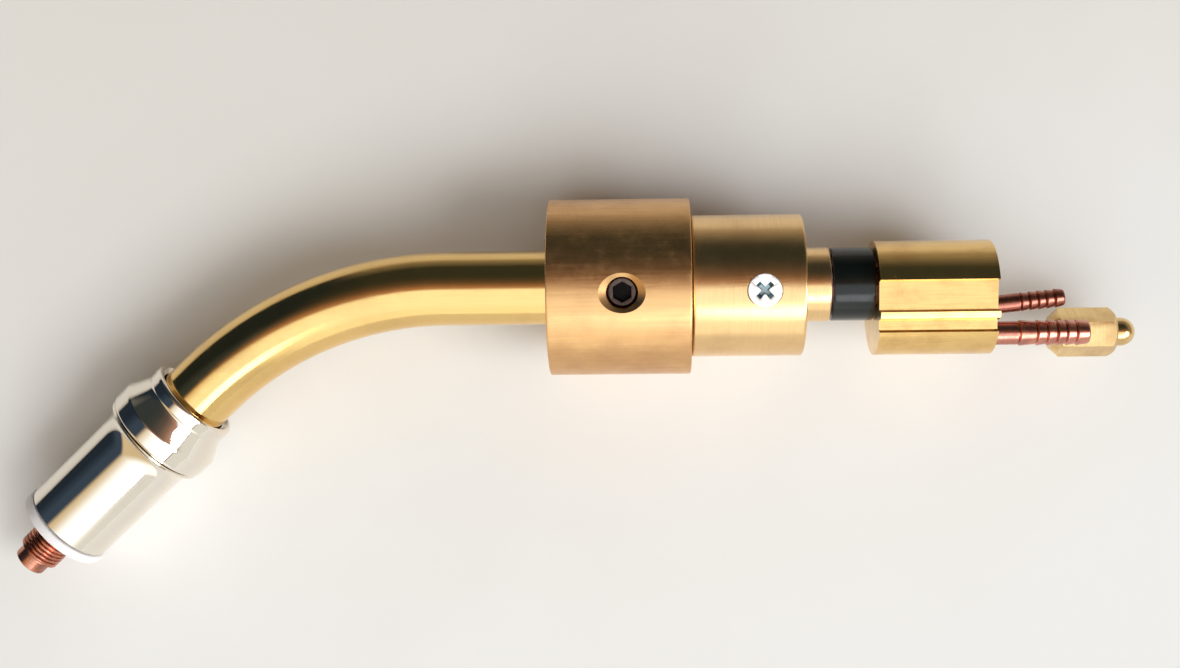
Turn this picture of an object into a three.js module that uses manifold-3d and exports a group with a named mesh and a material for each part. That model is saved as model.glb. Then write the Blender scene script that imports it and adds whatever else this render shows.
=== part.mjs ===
// Water-cooled swan neck of a machine MIG torch: a bent neck of four concentric tubes, held in a
// turned mounting sleeve, with a nozzle seat at the front and an insulated connector block with its
// gas, water and return connections at the rear.
//
// Millimetres. The torch is drawn on its body axis, +X towards the hoses, with the bend towards -Y
// and the set screw up +Z, and is then laid on the bench as it rests: on the mounting sleeve and the
// rim of the front insulator. The finished part has +Z up and its origin below the middle of its box.

import * as THREE from 'three';
import { mergeVertices } from 'three/addons/utils/BufferGeometryUtils.js';
import Module from 'manifold-3d';

// Clearances
const fit = 0.3;                    // between one piece and the next, along and across the axis
const threadGap = 0.3;              // across a thread, shared by the male and the female side
const overshoot = 1;                // of a cutting tool beyond the face that it opens
const weld = 1e-4;                  // corners closer than this are one

// Mounting sleeve: stations start at its front face
const sleeveDiameter = 40;
const sleeveLength = 31.8;
const sleeveEdge = 0.4;
const clipPocketRoom = 0.5;         // from the circlip's ears to the pocket's wall

// Set screw and pressure pad
const setScrewStation = 16.6;
const setScrewPitchDiameter = 7.2;  // M8
const setScrewLength = 4;
const setScrewKey = 4;              // across the flats of the socket
const setScrewKeyDepth = 2.4;
const setScrewCup = 0.6;
const screwMouthDiameter = 10.3;
const padDiameter = 6.2;
const padThickness = 1.4;

// Core body
const coreDiameter = 24;
const corePadGroove = 1.8;          // depth
const coreFlangeLength = 4.2;
const coreWaistDiameter = 19;
const coreSocketDepth = 19;         // how far the neck's jacket goes in
const coreLandLength = 8.6;         // land that the rear sleeve's screw bites into
const clipThickness = 1.1;
const clipWidth = 1.5;
const clipGrooveDepth = 0.9;
const clipInset = 1.2;              // from the core's front end to the circlip
const clipMouthDeg = 34;            // opening between the circlip's ears
const clipEarRadius = 1.5;
const clipEarHole = 0.7;

// Rear sleeve and its screw
const rearSleeveDiameter = 32.2;
const rearSleeveLength = 24.9;
const rearSleeveWall = 2.6;
const rearSleeveEndWall = 2.6;
const rearSleeveEdge = 0.6;
const rearScrewStation = 15.6;      // from the rear sleeve's front face
const rearScrewHead = 7.5;          // M4 countersunk
const rearScrewPitchDiameter = 3.55;
const rearScrewLength = 6.6;
const rearScrewRecess = { width: 4.65, arm: 0.93, depth: 1.3 };
const rearScrewSink = 0.1;

// Spigot, insulating ring and connector block
const spigotDiameter = 16.9;
const spigotLength = 6.1;
const ringDiameter = 16.6;
const ringLength = 9.6;
const blockDiameter = 25.9;
const blockLength = 26.1;
const blockOffset = 3.25;           // block axis below the body axis, towards the bend
const blockEdge = 0.35;
const wideSlot = { middle: 1.4, top: 7.3, floor: 5.3, floorHeight: 10 };
const narrowSlot = { middle: -5.4, top: 3.2, floor: 1.8, floorHeight: 9.4 };
const jacketSocketDepth = 5.2;
const conductorSocketDepth = 12.4;
const wireMouthDepth = 1.2;

// Hose barbs: y and z are on the block's rear face, from the block's axis
const waterBarb = {
  y: -7.9, z: 4, splayDeg: 0, diameter: 5.8, bore: 3.4,
  reach: 21.4, plain: 5.9, sink: 5.5, ribs: 6, groove: 0.3,
};
const gasBarb = {
  y: -1.55, z: 4, splayDeg: 5.7, diameter: 4.3, bore: 2.4,
  reach: 15.9, plain: 6.3, sink: 5.5, ribs: 5, groove: 0.3,
};
const passageDiameter = 2.4;

// Return pipe, union nut and ball nipple
const returnPort = { y: -8.8, z: -4.9, splayDeg: 0 };
const pipeDiameter = 4;
const pipeWall = 0.8;
const pipeSink = 5.5;
const nutStart = 15.2;              // behind the block's rear face
const nutLength = 14.4;
const nutAcrossFlats = 9.8;
const nutRearWall = 4.2;
const nutRearCone = 2.1;
const nutRearDiameter = 7.6;
const nutFrontCone = 1.2;
const nutFrontDiameter = 9.2;
const nutBore = 8.2;
const nippleDiameter = 6.5;
const nippleCollarLength = 2.4;
const nippleSocketDepth = 4.8;
const nippleReach = 5;              // beyond the nut
const nippleBore = 2.2;

// Neck: the jacket and the three tubes inside it
const jacketDiameter = 16.9;
const jacketWall = 1.3;
const jacketLap = 3;                // how far the jacket reaches into the nozzle seat
const insulationWall = 0.8;
const waterJacketWall = 0.6;
const wireBore = 6.4;
const channelDepth = 0.9;
const channelCount = 4;
const channelShare = 0.5;           // of the conductor's circumference
const neckStraight = 24.1;          // from the sleeve's front face to the bend
const bendRadius = 82;
const bendAngle = THREE.MathUtils.degToRad(43);

// Nozzle end: lengths along its axis, which starts where the bend ends
const collarStart = 4;
const collarLipDiameter = 21.8;
const collarLipLength = 3.2;
const collarConeLength = 5.4;
const collarConeHollow = 0.2;
const collarEdge = 0.6;
const collarDiameter = 26.3;
const collarBandLength = 4.2;
const seamGap = 0.6;
const sealSection = 1;
const seatThreadDiameter = 20;
const seatThreadLength = 4;
const seatFlangeDiameter = 25.4;
const seatFlare = 4.8;
const seatDiameter = 21.9;
const seatLength = 29.2;
const seatEdge = 0.5;
const insulatorRim = 22.1;
const insulatorRimLength = 2.2;
const insulatorWall = 1.6;
const stubDiameter = 10;            // M10x1
const stubThreadLength = 8.4;
const stubNoseDiameter = 7.8;
const stubNoseLength = 3.1;
const stubNoseEdge = 0.6;
const stubShoulderDiameter = 13;
const stubShoulderLength = 9;
const stubInset = 8.8;              // from the seat's rear face to the stub's
const conductorSink = 6;

// Facets round a full turn
const wideTurn = 40;
const mediumTurn = 28;
const smallTurn = 22;
const hiddenTurn = 16;
const holeTurn = 8;
const bendSteps = 10;
const flareSteps = 4;
const domeSteps = 5;
const sealSides = 6;

// Finishes
const finish = (color, roughness, metalness) => ({ color, roughness, metalness });
const turnedBrass = finish(0xb98a4a, 0.38, 1);
const polishedBrass = finish(0xd2a344, 0.2, 1);
const blockBrass = finish(0xd9b65a, 0.3, 1);
const copper = finish(0xa5533a, 0.35, 1);
const chrome = finish(0xd9dadb, 0.08, 1);
const zinc = finish(0xd4d8da, 0.35, 1);
const blackSteel = finish(0x1d1c1c, 0.5, 0.8);
const whitePlastic = finish(0xe9e8ea, 0.45, 0);
const blackPlastic = finish(0x1f2224, 0.5, 0);
const blackRubber = finish(0x151515, 0.8, 0);

const wasm = await Module();
wasm.setup();

// A closed body with shared corners and faces pointing out.
function closed(geometry) {
  const bare = geometry.clone();
  bare.deleteAttribute('normal');
  bare.deleteAttribute('uv');
  const merged = mergeVertices(bare, weld);
  const index = merged.index.array;
  const kept = [];
  for (let i = 0; i < index.length; i += 3) {
    const [a, b, c] = index.subarray(i, i + 3);
    if (a !== b && b !== c && c !== a) kept.push(a, b, c);
  }
  const at = (i) => new THREE.Vector3().fromBufferAttribute(merged.attributes.position, i);
  let volume = 0;
  for (let i = 0; i < kept.length; i += 3) {
    volume += at(kept[i]).dot(at(kept[i + 1]).cross(at(kept[i + 2])));
  }
  if (volume < 0) kept.reverse();
  merged.setIndex(kept);
  return merged;
}

function toSolid(geometry) {
  const body = closed(geometry);
  return new wasm.Manifold(new wasm.Mesh({
    numProp: 3,
    vertProperties: new Float32Array(body.attributes.position.array),
    triVerts: new Uint32Array(body.index.array),
  }));
}

function fromSolid(solid) {
  const mesh = solid.getMesh();
  const geometry = new THREE.BufferGeometry();
  geometry.setAttribute('position', new THREE.BufferAttribute(mesh.vertProperties, 3));
  geometry.setIndex(new THREE.BufferAttribute(mesh.triVerts, 1));
  return geometry;
}

function cut(body, ...tools) {
  return fromSolid(tools.reduce((solid, tool) => solid.subtract(toSolid(tool)), toSolid(body)));
}

function common(body, other) {
  return fromSolid(toSolid(body).intersect(toSolid(other)));
}

// Revolves [station, radius] corners about the X axis; a profile off the axis closes on itself.
function turned(corners, sides) {
  const points = corners.map(([station, radius]) => new THREE.Vector2(radius, station));
  const onAxis = points[0].x === 0 && points[points.length - 1].x === 0;
  if (!onAxis) points.push(points[0].clone());
  return closed(new THREE.LatheGeometry(points, sides).rotateZ(-Math.PI / 2));
}

function rod(start, end, radius, sides) {
  return turned([[start, 0], [start, radius], [end, radius], [end, 0]], sides);
}

function pipe(start, end, outer, inner, sides) {
  return turned([[start, inner], [start, outer], [end, outer], [end, inner]], sides);
}

// Extrudes a shape drawn in (Y, Z) along X.
function prism(shape, start, end, curveSegments = holeTurn) {
  const options = { depth: end - start, bevelEnabled: false, curveSegments };
  const turn = new THREE.Matrix4().makeBasis(
    new THREE.Vector3(0, 1, 0), new THREE.Vector3(0, 0, 1), new THREE.Vector3(1, 0, 0));
  return closed(new THREE.ExtrudeGeometry(shape, options).applyMatrix4(turn).translate(start, 0, 0));
}

function roundShape(radius) {
  return new THREE.Shape().absarc(0, 0, radius, 0, 2 * Math.PI, false);
}

function tubeShape(outer, inner) {
  const shape = roundShape(outer);
  shape.holes.push(new THREE.Path().absarc(0, 0, inner, 0, 2 * Math.PI, true));
  return shape;
}

// Radial direction in the X-Z plane: a tool drawn along X is stood up along +Z at a station.
function stoodUp(geometry, station) {
  return geometry.clone().rotateY(-Math.PI / 2).translate(station, 0, 0);
}

function mesh(name, geometry, look) {
  const body = new THREE.Mesh(geometry, new THREE.MeshStandardMaterial(look));
  body.geometry.computeVertexNormals();
  body.name = name;
  return body;
}

function groupOf(...children) {
  const group = new THREE.Group();
  group.add(...children);
  return group;
}

// Stations on the body axis
const rearSleeveStart = sleeveLength + fit;
const rearSleeveEnd = rearSleeveStart + rearSleeveLength;
const spigotEnd = rearSleeveEnd + spigotLength;
const ringStart = spigotEnd + fit;
const blockStart = ringStart + ringLength + fit;
const blockEnd = blockStart + blockLength;
const waterJacketEnd = blockStart + jacketSocketDepth - fit;
const conductorEnd = blockStart + conductorSocketDepth - fit;
const clipFront = clipInset + fit;
const clipRear = clipFront + clipThickness;

// Radii that nest inside each other
const jacketOuter = jacketDiameter / 2;
const jacketInner = jacketOuter - jacketWall;
const insulationOuter = jacketInner - fit;
const insulationInner = insulationOuter - insulationWall;
const waterOuter = insulationInner - fit;
const waterInner = waterOuter - waterJacketWall;
const conductorOuter = waterInner - fit;
const conductorInner = wireBore / 2;
const coreOuter = coreDiameter / 2;
const coreBore = insulationOuter + fit;
const rearSleeveOuter = rearSleeveDiameter / 2;
const rearSleeveInner = rearSleeveOuter - rearSleeveWall;
const insulatorOuter = stubShoulderDiameter / 2 + fit + insulatorWall;

// Stations on the nozzle axis
const collarConeStart = collarStart + collarLipLength;
const collarBandStart = collarConeStart + collarConeLength;
const collarEnd = collarBandStart + collarBandLength;
const seatStart = collarEnd + seamGap;
const seatEnd = seatStart + seatLength;
const rimStart = seatEnd + fit;
const rimEnd = rimStart + insulatorRimLength;
const stubThreadEnd = rimEnd + stubThreadLength;
const stubEnd = stubThreadEnd + stubNoseLength;
const seatThreadStart = seatStart - seatThreadLength;
const jacketFront = seatStart + jacketLap;
const stubRear = seatStart + stubInset;
const stubShoulderEnd = stubRear + stubShoulderLength;
const conductorFront = stubRear + conductorSink;
const linerFront = stubRear - fit;

// Centre line of the neck from the rear, along the body axis, round the bend and out to the nozzle.
// Its stations gather in the bend, so that all four tubes share the same facets there.
class NeckLine extends THREE.Curve {
  constructor(rear, front) {
    super();
    this.rear = rear;
    this.front = front;
  }

  getPoint(share) {
    const step = share * (bendSteps + 2);
    const turn = (step - 1) / bendSteps;
    if (step < 1) return new THREE.Vector3(THREE.MathUtils.lerp(this.rear, -neckStraight, step), 0, 0);
    const angle = Math.min(turn, 1) * bendAngle;
    const point = new THREE.Vector3(
      -neckStraight - bendRadius * Math.sin(angle), -bendRadius * (1 - Math.cos(angle)), 0);
    const beyond = Math.max(step - 1 - bendSteps, 0) * this.front;
    return point.addScaledVector(NeckLine.direction(bendAngle), beyond);
  }

  getTangent(share) {
    const step = share * (bendSteps + 2);
    return NeckLine.direction(THREE.MathUtils.clamp((step - 1) / bendSteps, 0, 1) * bendAngle);
  }

  getPointAt(share) {
    return this.getPoint(share);
  }

  getTangentAt(share) {
    return this.getTangent(share);
  }

  static direction(angle) {
    return new THREE.Vector3(-Math.cos(angle), -Math.sin(angle), 0);
  }
}

function alongNeck(shape, rear, front, curveSegments) {
  const options = {
    extrudePath: new NeckLine(rear, front), steps: bendSteps + 2, bevelEnabled: false, curveSegments,
  };
  return closed(new THREE.ExtrudeGeometry(shape, options));
}

// Conductor section: a thick tube with water channels milled along its outside.
function conductorShape() {
  const shape = new THREE.Shape();
  const pitch = 2 * Math.PI / channelCount;
  const land = pitch * (1 - channelShare);
  const floor = conductorOuter - channelDepth;
  for (let i = 0; i < channelCount; i += 1) {
    const start = i * pitch - land / 2;
    shape.absarc(0, 0, conductorOuter, start, start + land, false);
    shape.absarc(0, 0, floor, start + land, start + pitch, false);
  }
  shape.closePath();
  shape.holes.push(boreOutline(conductorInner, hiddenTurn));
  return shape;
}

function boreOutline(radius, sides) {
  return new THREE.Path(Array.from({ length: sides }, (_, i) => {
    const turn = (-2 * Math.PI * i) / sides;
    return new THREE.Vector2(radius * Math.cos(turn), radius * Math.sin(turn));
  }));
}

function neckTubes() {
  const seen = mediumTurn / 2;
  const hidden = hiddenTurn / 2;
  const jacket = tubeShape(jacketOuter, jacketInner);
  const insulation = tubeShape(insulationOuter, insulationInner);
  const waterJacket = tubeShape(waterOuter, waterInner);
  return groupOf(
    mesh('neck_jacket', alongNeck(jacket, coreSocketDepth, jacketFront, seen), polishedBrass),
    mesh('neck_insulation', alongNeck(insulation, coreSocketDepth, linerFront, hidden), whitePlastic),
    mesh('water_jacket', alongNeck(waterJacket, waterJacketEnd, linerFront, hidden), copper),
    mesh('conductor_tube', alongNeck(conductorShape(), conductorEnd, conductorFront, 1), copper),
  );
}

function seatCollar() {
  const lip = collarLipDiameter / 2;
  const band = collarDiameter / 2;
  const bore = jacketOuter + fit;
  const thread = seatThreadDiameter / 2 + fit;
  const sealPocket = thread + sealSection + 2 * fit;
  const edge = collarEdge;
  const coneMiddle = collarConeStart + collarConeLength / 2;
  return turned([
    [collarStart, bore], [collarStart, lip - 2 * edge], [collarStart + edge, lip - edge / 2],
    [collarStart + 2 * edge, lip], [collarConeStart, lip],
    [coneMiddle, (lip + band) / 2 - collarConeHollow], [collarBandStart, band - edge / 2],
    [collarBandStart + edge, band], [collarEnd - edge, band], [collarEnd, band - edge],
    [collarEnd, sealPocket], [collarEnd - sealSection, sealPocket], [collarEnd - sealSection, thread],
    [seatThreadStart - fit, thread], [seatThreadStart - fit, bore],
  ], mediumTurn);
}

function nozzleSeat() {
  const outer = seatDiameter / 2;
  const flange = seatFlangeDiameter / 2;
  const thread = seatThreadDiameter / 2;
  const rearBore = jacketOuter + fit;
  const frontBore = insulatorOuter + fit;
  const flare = [];
  for (let i = 0; i <= flareSteps; i += 1) {
    const turn = (i / flareSteps) * Math.PI / 2;
    const station = seatStart + seatFlare - (seatFlare - seatEdge) * Math.cos(turn);
    flare.push([station, flange - (flange - outer) * Math.sin(turn)]);
  }
  return turned([
    [seatThreadStart, rearBore], [seatThreadStart, thread], [seatStart, thread],
    [seatStart, flange - seatEdge], ...flare, [seatEnd - seatEdge, outer], [seatEnd, outer - seatEdge],
    [seatEnd, frontBore], [jacketFront + fit, frontBore], [jacketFront + fit, rearBore],
  ], mediumTurn);
}

function sealRing(station, middle, section, sides) {
  const profile = Array.from({ length: sealSides }, (_, i) => {
    const turn = (2 * Math.PI * i) / sealSides;
    return [station + (section / 2) * Math.cos(turn), middle + (section / 2) * Math.sin(turn)];
  });
  return turned(profile, sides);
}

function frontInsulator() {
  const bore = stubDiameter / 2 + fit;
  const shoulder = stubShoulderDiameter / 2 + fit;
  const rim = insulatorRim / 2;
  return turned([
    [stubRear, shoulder], [stubRear, insulatorOuter], [rimStart, insulatorOuter], [rimStart, rim],
    [rimEnd - seatEdge, rim], [rimEnd, rim - seatEdge], [rimEnd, bore],
    [stubShoulderEnd + fit, bore], [stubShoulderEnd + fit, shoulder],
  ], mediumTurn);
}

function threadedStub() {
  const thread = stubDiameter / 2;
  const nose = stubNoseDiameter / 2;
  const shoulder = stubShoulderDiameter / 2;
  const socket = conductorOuter + fit;
  return turned([
    [stubRear, socket], [stubRear, shoulder], [stubShoulderEnd, shoulder], [stubShoulderEnd, thread],
    [stubThreadEnd - (thread - nose), thread], [stubThreadEnd, nose], [stubEnd - stubNoseEdge, nose],
    [stubEnd, nose - stubNoseEdge], [stubEnd, conductorInner],
    [conductorFront + fit, conductorInner], [conductorFront + fit, socket],
  ], smallTurn);
}

function nozzleEnd() {
  const sealMiddle = seatThreadDiameter / 2 + fit + sealSection / 2 + fit;
  const sealStation = collarEnd - sealSection / 2 + fit;
  const group = groupOf(
    mesh('seat_collar', seatCollar(), chrome),
    mesh('seat_o_ring', sealRing(sealStation, sealMiddle, sealSection, smallTurn), blackRubber),
    mesh('nozzle_seat', nozzleSeat(), chrome),
    mesh('front_insulator', frontInsulator(), whitePlastic),
    mesh('threaded_stub', threadedStub(), copper),
  );
  group.position.copy(new NeckLine(0, 0).getPoint(1));
  group.rotation.z = Math.PI + bendAngle;
  return group;
}

// Stack on the set screw's axis, as radii from the body axis
const padBottom = coreOuter - corePadGroove + fit;
const padTop = padBottom + padThickness;
const setScrewBottom = padTop + fit;
const setScrewTop = setScrewBottom + setScrewLength;

function setScrewHole() {
  const radius = (setScrewPitchDiameter + threadGap) / 2;
  const mouth = screwMouthDiameter / 2;
  const surface = sleeveDiameter / 2;
  return turned([
    [coreOuter - overshoot, 0], [coreOuter - overshoot, radius], [surface - (mouth - radius), radius],
    [surface + fit, mouth + fit], [surface + fit, 0],
  ], smallTurn);
}

function mountingSleeve() {
  const outer = sleeveDiameter / 2;
  const bore = coreOuter + fit;
  const pocket = coreOuter - clipGrooveDepth + fit + 2 * clipEarRadius + clipPocketRoom;
  const body = turned([
    [0, pocket], [0, outer - sleeveEdge], [sleeveEdge, outer], [sleeveLength - sleeveEdge, outer],
    [sleeveLength, outer - sleeveEdge], [sleeveLength, bore], [clipRear + fit, bore],
    [clipRear + fit, pocket],
  ], wideTurn);
  return cut(body, stoodUp(setScrewHole(), setScrewStation));
}

function hexagon(acrossFlats) {
  const corner = acrossFlats / Math.sqrt(3);
  const corners = Array.from({ length: 6 }, (_, i) => {
    const turn = i * Math.PI / 3;
    return new THREE.Vector2(corner * Math.cos(turn), corner * Math.sin(turn));
  });
  return new THREE.Shape(corners);
}

function setScrew() {
  const radius = (setScrewPitchDiameter - threadGap) / 2;
  const body = turned([
    [setScrewBottom + setScrewCup, 0], [setScrewBottom, radius / 2], [setScrewBottom, radius - setScrewCup],
    [setScrewBottom + setScrewCup, radius], [setScrewTop - setScrewCup / 2, radius],
    [setScrewTop, radius - setScrewCup / 2], [setScrewTop, 0],
  ], smallTurn);
  return cut(body, prism(hexagon(setScrewKey), setScrewTop - setScrewKeyDepth, setScrewTop + fit));
}

function clampingSet() {
  const group = groupOf(
    mesh('set_screw', setScrew(), blackSteel),
    mesh('clamp_pad', rod(padBottom, padTop, padDiameter / 2, smallTurn), turnedBrass),
  );
  group.position.x = setScrewStation;
  group.rotation.y = -Math.PI / 2;
  return group;
}

function coreBody() {
  const padWidth = padDiameter / 2 + 2 * fit;
  const grooveFloor = coreOuter - corePadGroove;
  const clipFloor = coreOuter - clipGrooveDepth;
  const flange = rearSleeveInner - fit;
  const flangeEnd = rearSleeveStart + coreFlangeLength;
  const landEnd = rearSleeveEnd - rearSleeveEndWall - fit;
  const landStart = landEnd - coreLandLength;
  const waist = coreWaistDiameter / 2;
  const spigot = spigotDiameter / 2;
  const socket = jacketOuter + fit;
  const body = turned([
    [fit, socket], [fit, coreOuter - sleeveEdge], [fit + sleeveEdge, coreOuter],
    [clipFront - fit, coreOuter], [clipFront - fit, clipFloor],
    [clipRear + fit, clipFloor], [clipRear + fit, coreOuter],
    [setScrewStation - padWidth, coreOuter], [setScrewStation - padWidth, grooveFloor],
    [setScrewStation + padWidth, grooveFloor], [setScrewStation + padWidth, coreOuter],
    [rearSleeveStart, coreOuter], [rearSleeveStart, flange], [flangeEnd, flange], [flangeEnd, waist],
    [landStart, waist], [landStart, flange], [landEnd, flange], [landEnd, spigot], [spigotEnd, spigot],
    [spigotEnd, coreBore], [coreSocketDepth + fit, coreBore], [coreSocketDepth + fit, socket],
  ], smallTurn);
  const holeRadius = (rearScrewPitchDiameter + threadGap) / 2;
  const holeFloor = rearSleeveOuter - rearScrewSink - rearScrewLength - 2 * fit;
  const hole = rod(holeFloor, rearSleeveOuter, holeRadius, hiddenTurn);
  return cut(body, stoodUp(hole, rearSleeveStart + rearScrewStation));
}

function circlip() {
  const inner = coreOuter - clipGrooveDepth + fit;
  const outer = inner + clipWidth;
  const middle = (inner + outer) / 2;
  const earMiddle = inner + clipEarRadius;
  const mouth = THREE.MathUtils.degToRad(clipMouthDeg) / 2;
  const ring = new THREE.Shape();
  ring.absarc(0, 0, outer, mouth, 2 * Math.PI - mouth, false);
  ring.absarc(0, 0, inner, 2 * Math.PI - mouth, mouth, true);
  ring.closePath();
  let body = toSolid(prism(ring, clipFront, clipRear));
  for (const side of [-1, 1]) {
    const turn = side * (mouth + clipEarRadius / middle / 2);
    const [y, z] = [earMiddle * Math.cos(turn), earMiddle * Math.sin(turn)];
    const ear = rod(clipFront, clipRear, clipEarRadius, holeTurn).translate(0, y, z);
    const hole = rod(clipFront - overshoot, clipRear + overshoot, clipEarHole, holeTurn)
      .translate(0, y, z);
    body = body.add(toSolid(ear)).subtract(toSolid(hole));
  }
  return fromSolid(body);
}

// Countersunk head and its seat share one cone: half of the head's spread is its height.
function countersink(headRadius, shankRadius, top, bottom) {
  return turned([
    [bottom, 0], [bottom, shankRadius], [top - (headRadius - shankRadius), shankRadius],
    [top, headRadius], [top, 0],
  ], smallTurn);
}

function rearSleeve() {
  const outer = rearSleeveOuter;
  const body = turned([
    [rearSleeveStart, rearSleeveInner], [rearSleeveStart, outer - sleeveEdge],
    [rearSleeveStart + sleeveEdge, outer], [rearSleeveEnd - rearSleeveEdge, outer],
    [rearSleeveEnd, outer - rearSleeveEdge], [rearSleeveEnd, spigotDiameter / 2 + fit],
    [rearSleeveEnd - rearSleeveEndWall, spigotDiameter / 2 + fit],
    [rearSleeveEnd - rearSleeveEndWall, rearSleeveInner],
  ], wideTurn);
  const top = outer - rearScrewSink;
  const shank = (rearScrewPitchDiameter - threadGap) / 2 + fit;
  const mouth = rearScrewHead / 2 + fit + overshoot;
  const seat = countersink(mouth, shank, top + overshoot, coreOuter);
  return cut(body, stoodUp(seat, rearSleeveStart + rearScrewStation));
}

function crossRecess({ width, arm, depth }, top) {
  const height = depth + overshoot;
  return [[width, arm], [arm, width]].map(
    ([y, z]) => new THREE.BoxGeometry(height, y, z).rotateX(Math.PI / 4)
      .translate(top - depth + height / 2, 0, 0));
}

function rearSleeveScrew() {
  const top = rearSleeveOuter - rearScrewSink;
  const shank = (rearScrewPitchDiameter - threadGap) / 2;
  const body = countersink(rearScrewHead / 2, shank, top, top - rearScrewLength);
  return cut(body, ...crossRecess(rearScrewRecess, top));
}

function screwInRearSleeve() {
  const group = groupOf(mesh('rear_sleeve_screw', rearSleeveScrew(), zinc));
  group.position.x = rearSleeveStart + rearScrewStation;
  group.rotation.y = -Math.PI / 2;
  return group;
}

function bodySection() {
  return groupOf(
    mesh('mounting_sleeve', mountingSleeve(), turnedBrass),
    clampingSet(),
    mesh('sleeve_circlip', circlip(), blackSteel),
    mesh('core_body', coreBody(), turnedBrass),
    mesh('rear_sleeve', rearSleeve(), turnedBrass),
    screwInRearSleeve(),
    mesh('core_insulator',
      pipe(coreSocketDepth + fit, ringStart, insulationOuter, insulationInner, hiddenTurn), whitePlastic),
    mesh('insulating_ring',
      pipe(ringStart + fit, blockStart - fit, ringDiameter / 2, insulationInner, mediumTurn), blackPlastic),
  );
}

// Connector block: drawn on its own axis, with its front face at station 0
const jacketSealStation = 1.5 * sealSection;
const conductorSealStation = conductorSocketDepth - 2.5 * sealSection;

function slotTool({ middle, top, floor, floorHeight }) {
  const mouthHeight = Math.sqrt((blockDiameter / 2) ** 2 - middle ** 2);
  const rise = blockDiameter / 2 + overshoot - floorHeight;
  const spread = ((top - floor) / 2) * (rise / (mouthHeight - floorHeight));
  const shape = new THREE.Shape([
    new THREE.Vector2(middle - floor / 2, floorHeight),
    new THREE.Vector2(middle + floor / 2, floorHeight),
    new THREE.Vector2(middle + floor / 2 + spread, floorHeight + rise),
    new THREE.Vector2(middle - floor / 2 - spread, floorHeight + rise),
  ]);
  return prism(shape, -overshoot, blockLength + overshoot);
}

// A drilled passage from a connection's socket to the bore on the body axis.
function crossPassage(station, port) {
  const reach = new THREE.Vector2(blockOffset - port.y, -port.z);
  const hole = rod(0, reach.length(), passageDiameter / 2, holeTurn);
  hole.rotateZ(Math.PI / 2).rotateX(Math.atan2(reach.y, reach.x));
  return hole.translate(station, port.y, port.z);
}

function portTool(port, radius, sink, depth) {
  const socket = rod(blockLength - sink - fit, blockLength + overshoot, radius + fit, hiddenTurn);
  const passage = rod(depth, blockLength - sink, passageDiameter / 2, holeTurn);
  const splay = THREE.MathUtils.degToRad(port.splayDeg);
  return [socket, passage].map(
    (tool) => tool.translate(-blockLength, 0, 0).rotateZ(splay).translate(blockLength, port.y, port.z));
}

function connectorBlock() {
  const outer = blockDiameter / 2;
  const mouth = conductorInner + wireMouthDepth;
  const axisBore = turned([
    [-overshoot, 0], [-overshoot, waterOuter + fit], [jacketSocketDepth, waterOuter + fit],
    [jacketSocketDepth, conductorOuter + fit], [conductorSocketDepth, conductorOuter + fit],
    [conductorSocketDepth, conductorInner], [blockLength - wireMouthDepth, conductorInner],
    [blockLength + overshoot, mouth + overshoot], [blockLength + overshoot, 0],
  ], smallTurn).translate(0, blockOffset, 0);
  const body = turned([
    [0, 0], [0, outer - blockEdge], [blockEdge, outer], [blockLength - blockEdge, outer],
    [blockLength, outer - blockEdge], [blockLength, 0],
  ], wideTurn);
  const waterStation = (jacketSocketDepth + conductorSealStation) / 2;
  const gasStation = (conductorSocketDepth + blockLength - gasBarb.sink) / 2;
  return cut(body, slotTool(wideSlot), slotTool(narrowSlot), axisBore,
    sealGroove(jacketSealStation, waterOuter), sealGroove(conductorSealStation, conductorOuter),
    ...portTool(waterBarb, stemRadius(waterBarb), waterBarb.sink, waterStation),
    ...portTool(gasBarb, stemRadius(gasBarb), gasBarb.sink, gasStation),
    ...portTool(returnPort, pipeDiameter / 2, pipeSink, waterStation),
    crossPassage(waterStation, waterBarb), crossPassage(gasStation, gasBarb),
    crossPassage(waterStation, returnPort));
}

function stemRadius(barb) {
  return barb.diameter / 2 - barb.groove;
}

// Hose barb from its buried end: a plain stem, then ribs whose steep side faces the block.
function hoseBarb(barb) {
  const crest = barb.diameter / 2;
  const stem = stemRadius(barb);
  const bore = barb.bore / 2;
  const pitch = (barb.reach - barb.plain) / barb.ribs;
  const corners = [[-barb.sink, bore], [-barb.sink, stem], [barb.plain, stem]];
  for (let i = 0; i < barb.ribs; i += 1) {
    const start = barb.plain + i * pitch;
    corners.push([start, crest], [start + pitch, stem]);
  }
  corners.push([barb.reach, bore]);
  return turned(corners, hiddenTurn);
}

function hoseBarbIn(name, barb) {
  const group = groupOf(mesh(name, hoseBarb(barb), copper));
  group.position.set(blockLength, barb.y, barb.z);
  group.rotation.z = THREE.MathUtils.degToRad(barb.splayDeg);
  return group;
}

// Return line: stations start at the block's rear face
const nutEnd = nutStart + nutLength;
const nippleStart = nutStart + nutRearWall + fit;
const nippleCylinderEnd = nutEnd + nippleReach - nippleDiameter / 2;

function unionNut() {
  const corner = nutAcrossFlats / Math.sqrt(3) + fit;
  const envelope = turned([
    [nutStart, 0], [nutStart, nutRearDiameter / 2], [nutStart + nutRearCone, corner],
    [nutEnd - nutFrontCone, corner], [nutEnd, nutFrontDiameter / 2], [nutEnd, 0],
  ], mediumTurn);
  const pipeHole = pipeDiameter / 2 + fit;
  const wallEnd = nutStart + nutRearWall;
  const bore = turned([
    [nutStart - overshoot, 0], [nutStart - overshoot, pipeHole], [wallEnd, pipeHole],
    [wallEnd, nutBore / 2], [nutEnd + overshoot, nutBore / 2], [nutEnd + overshoot, 0],
  ], smallTurn);
  const bar = prism(hexagon(nutAcrossFlats), nutStart - overshoot, nutEnd + overshoot);
  return cut(common(bar, envelope), bore);
}

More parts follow.
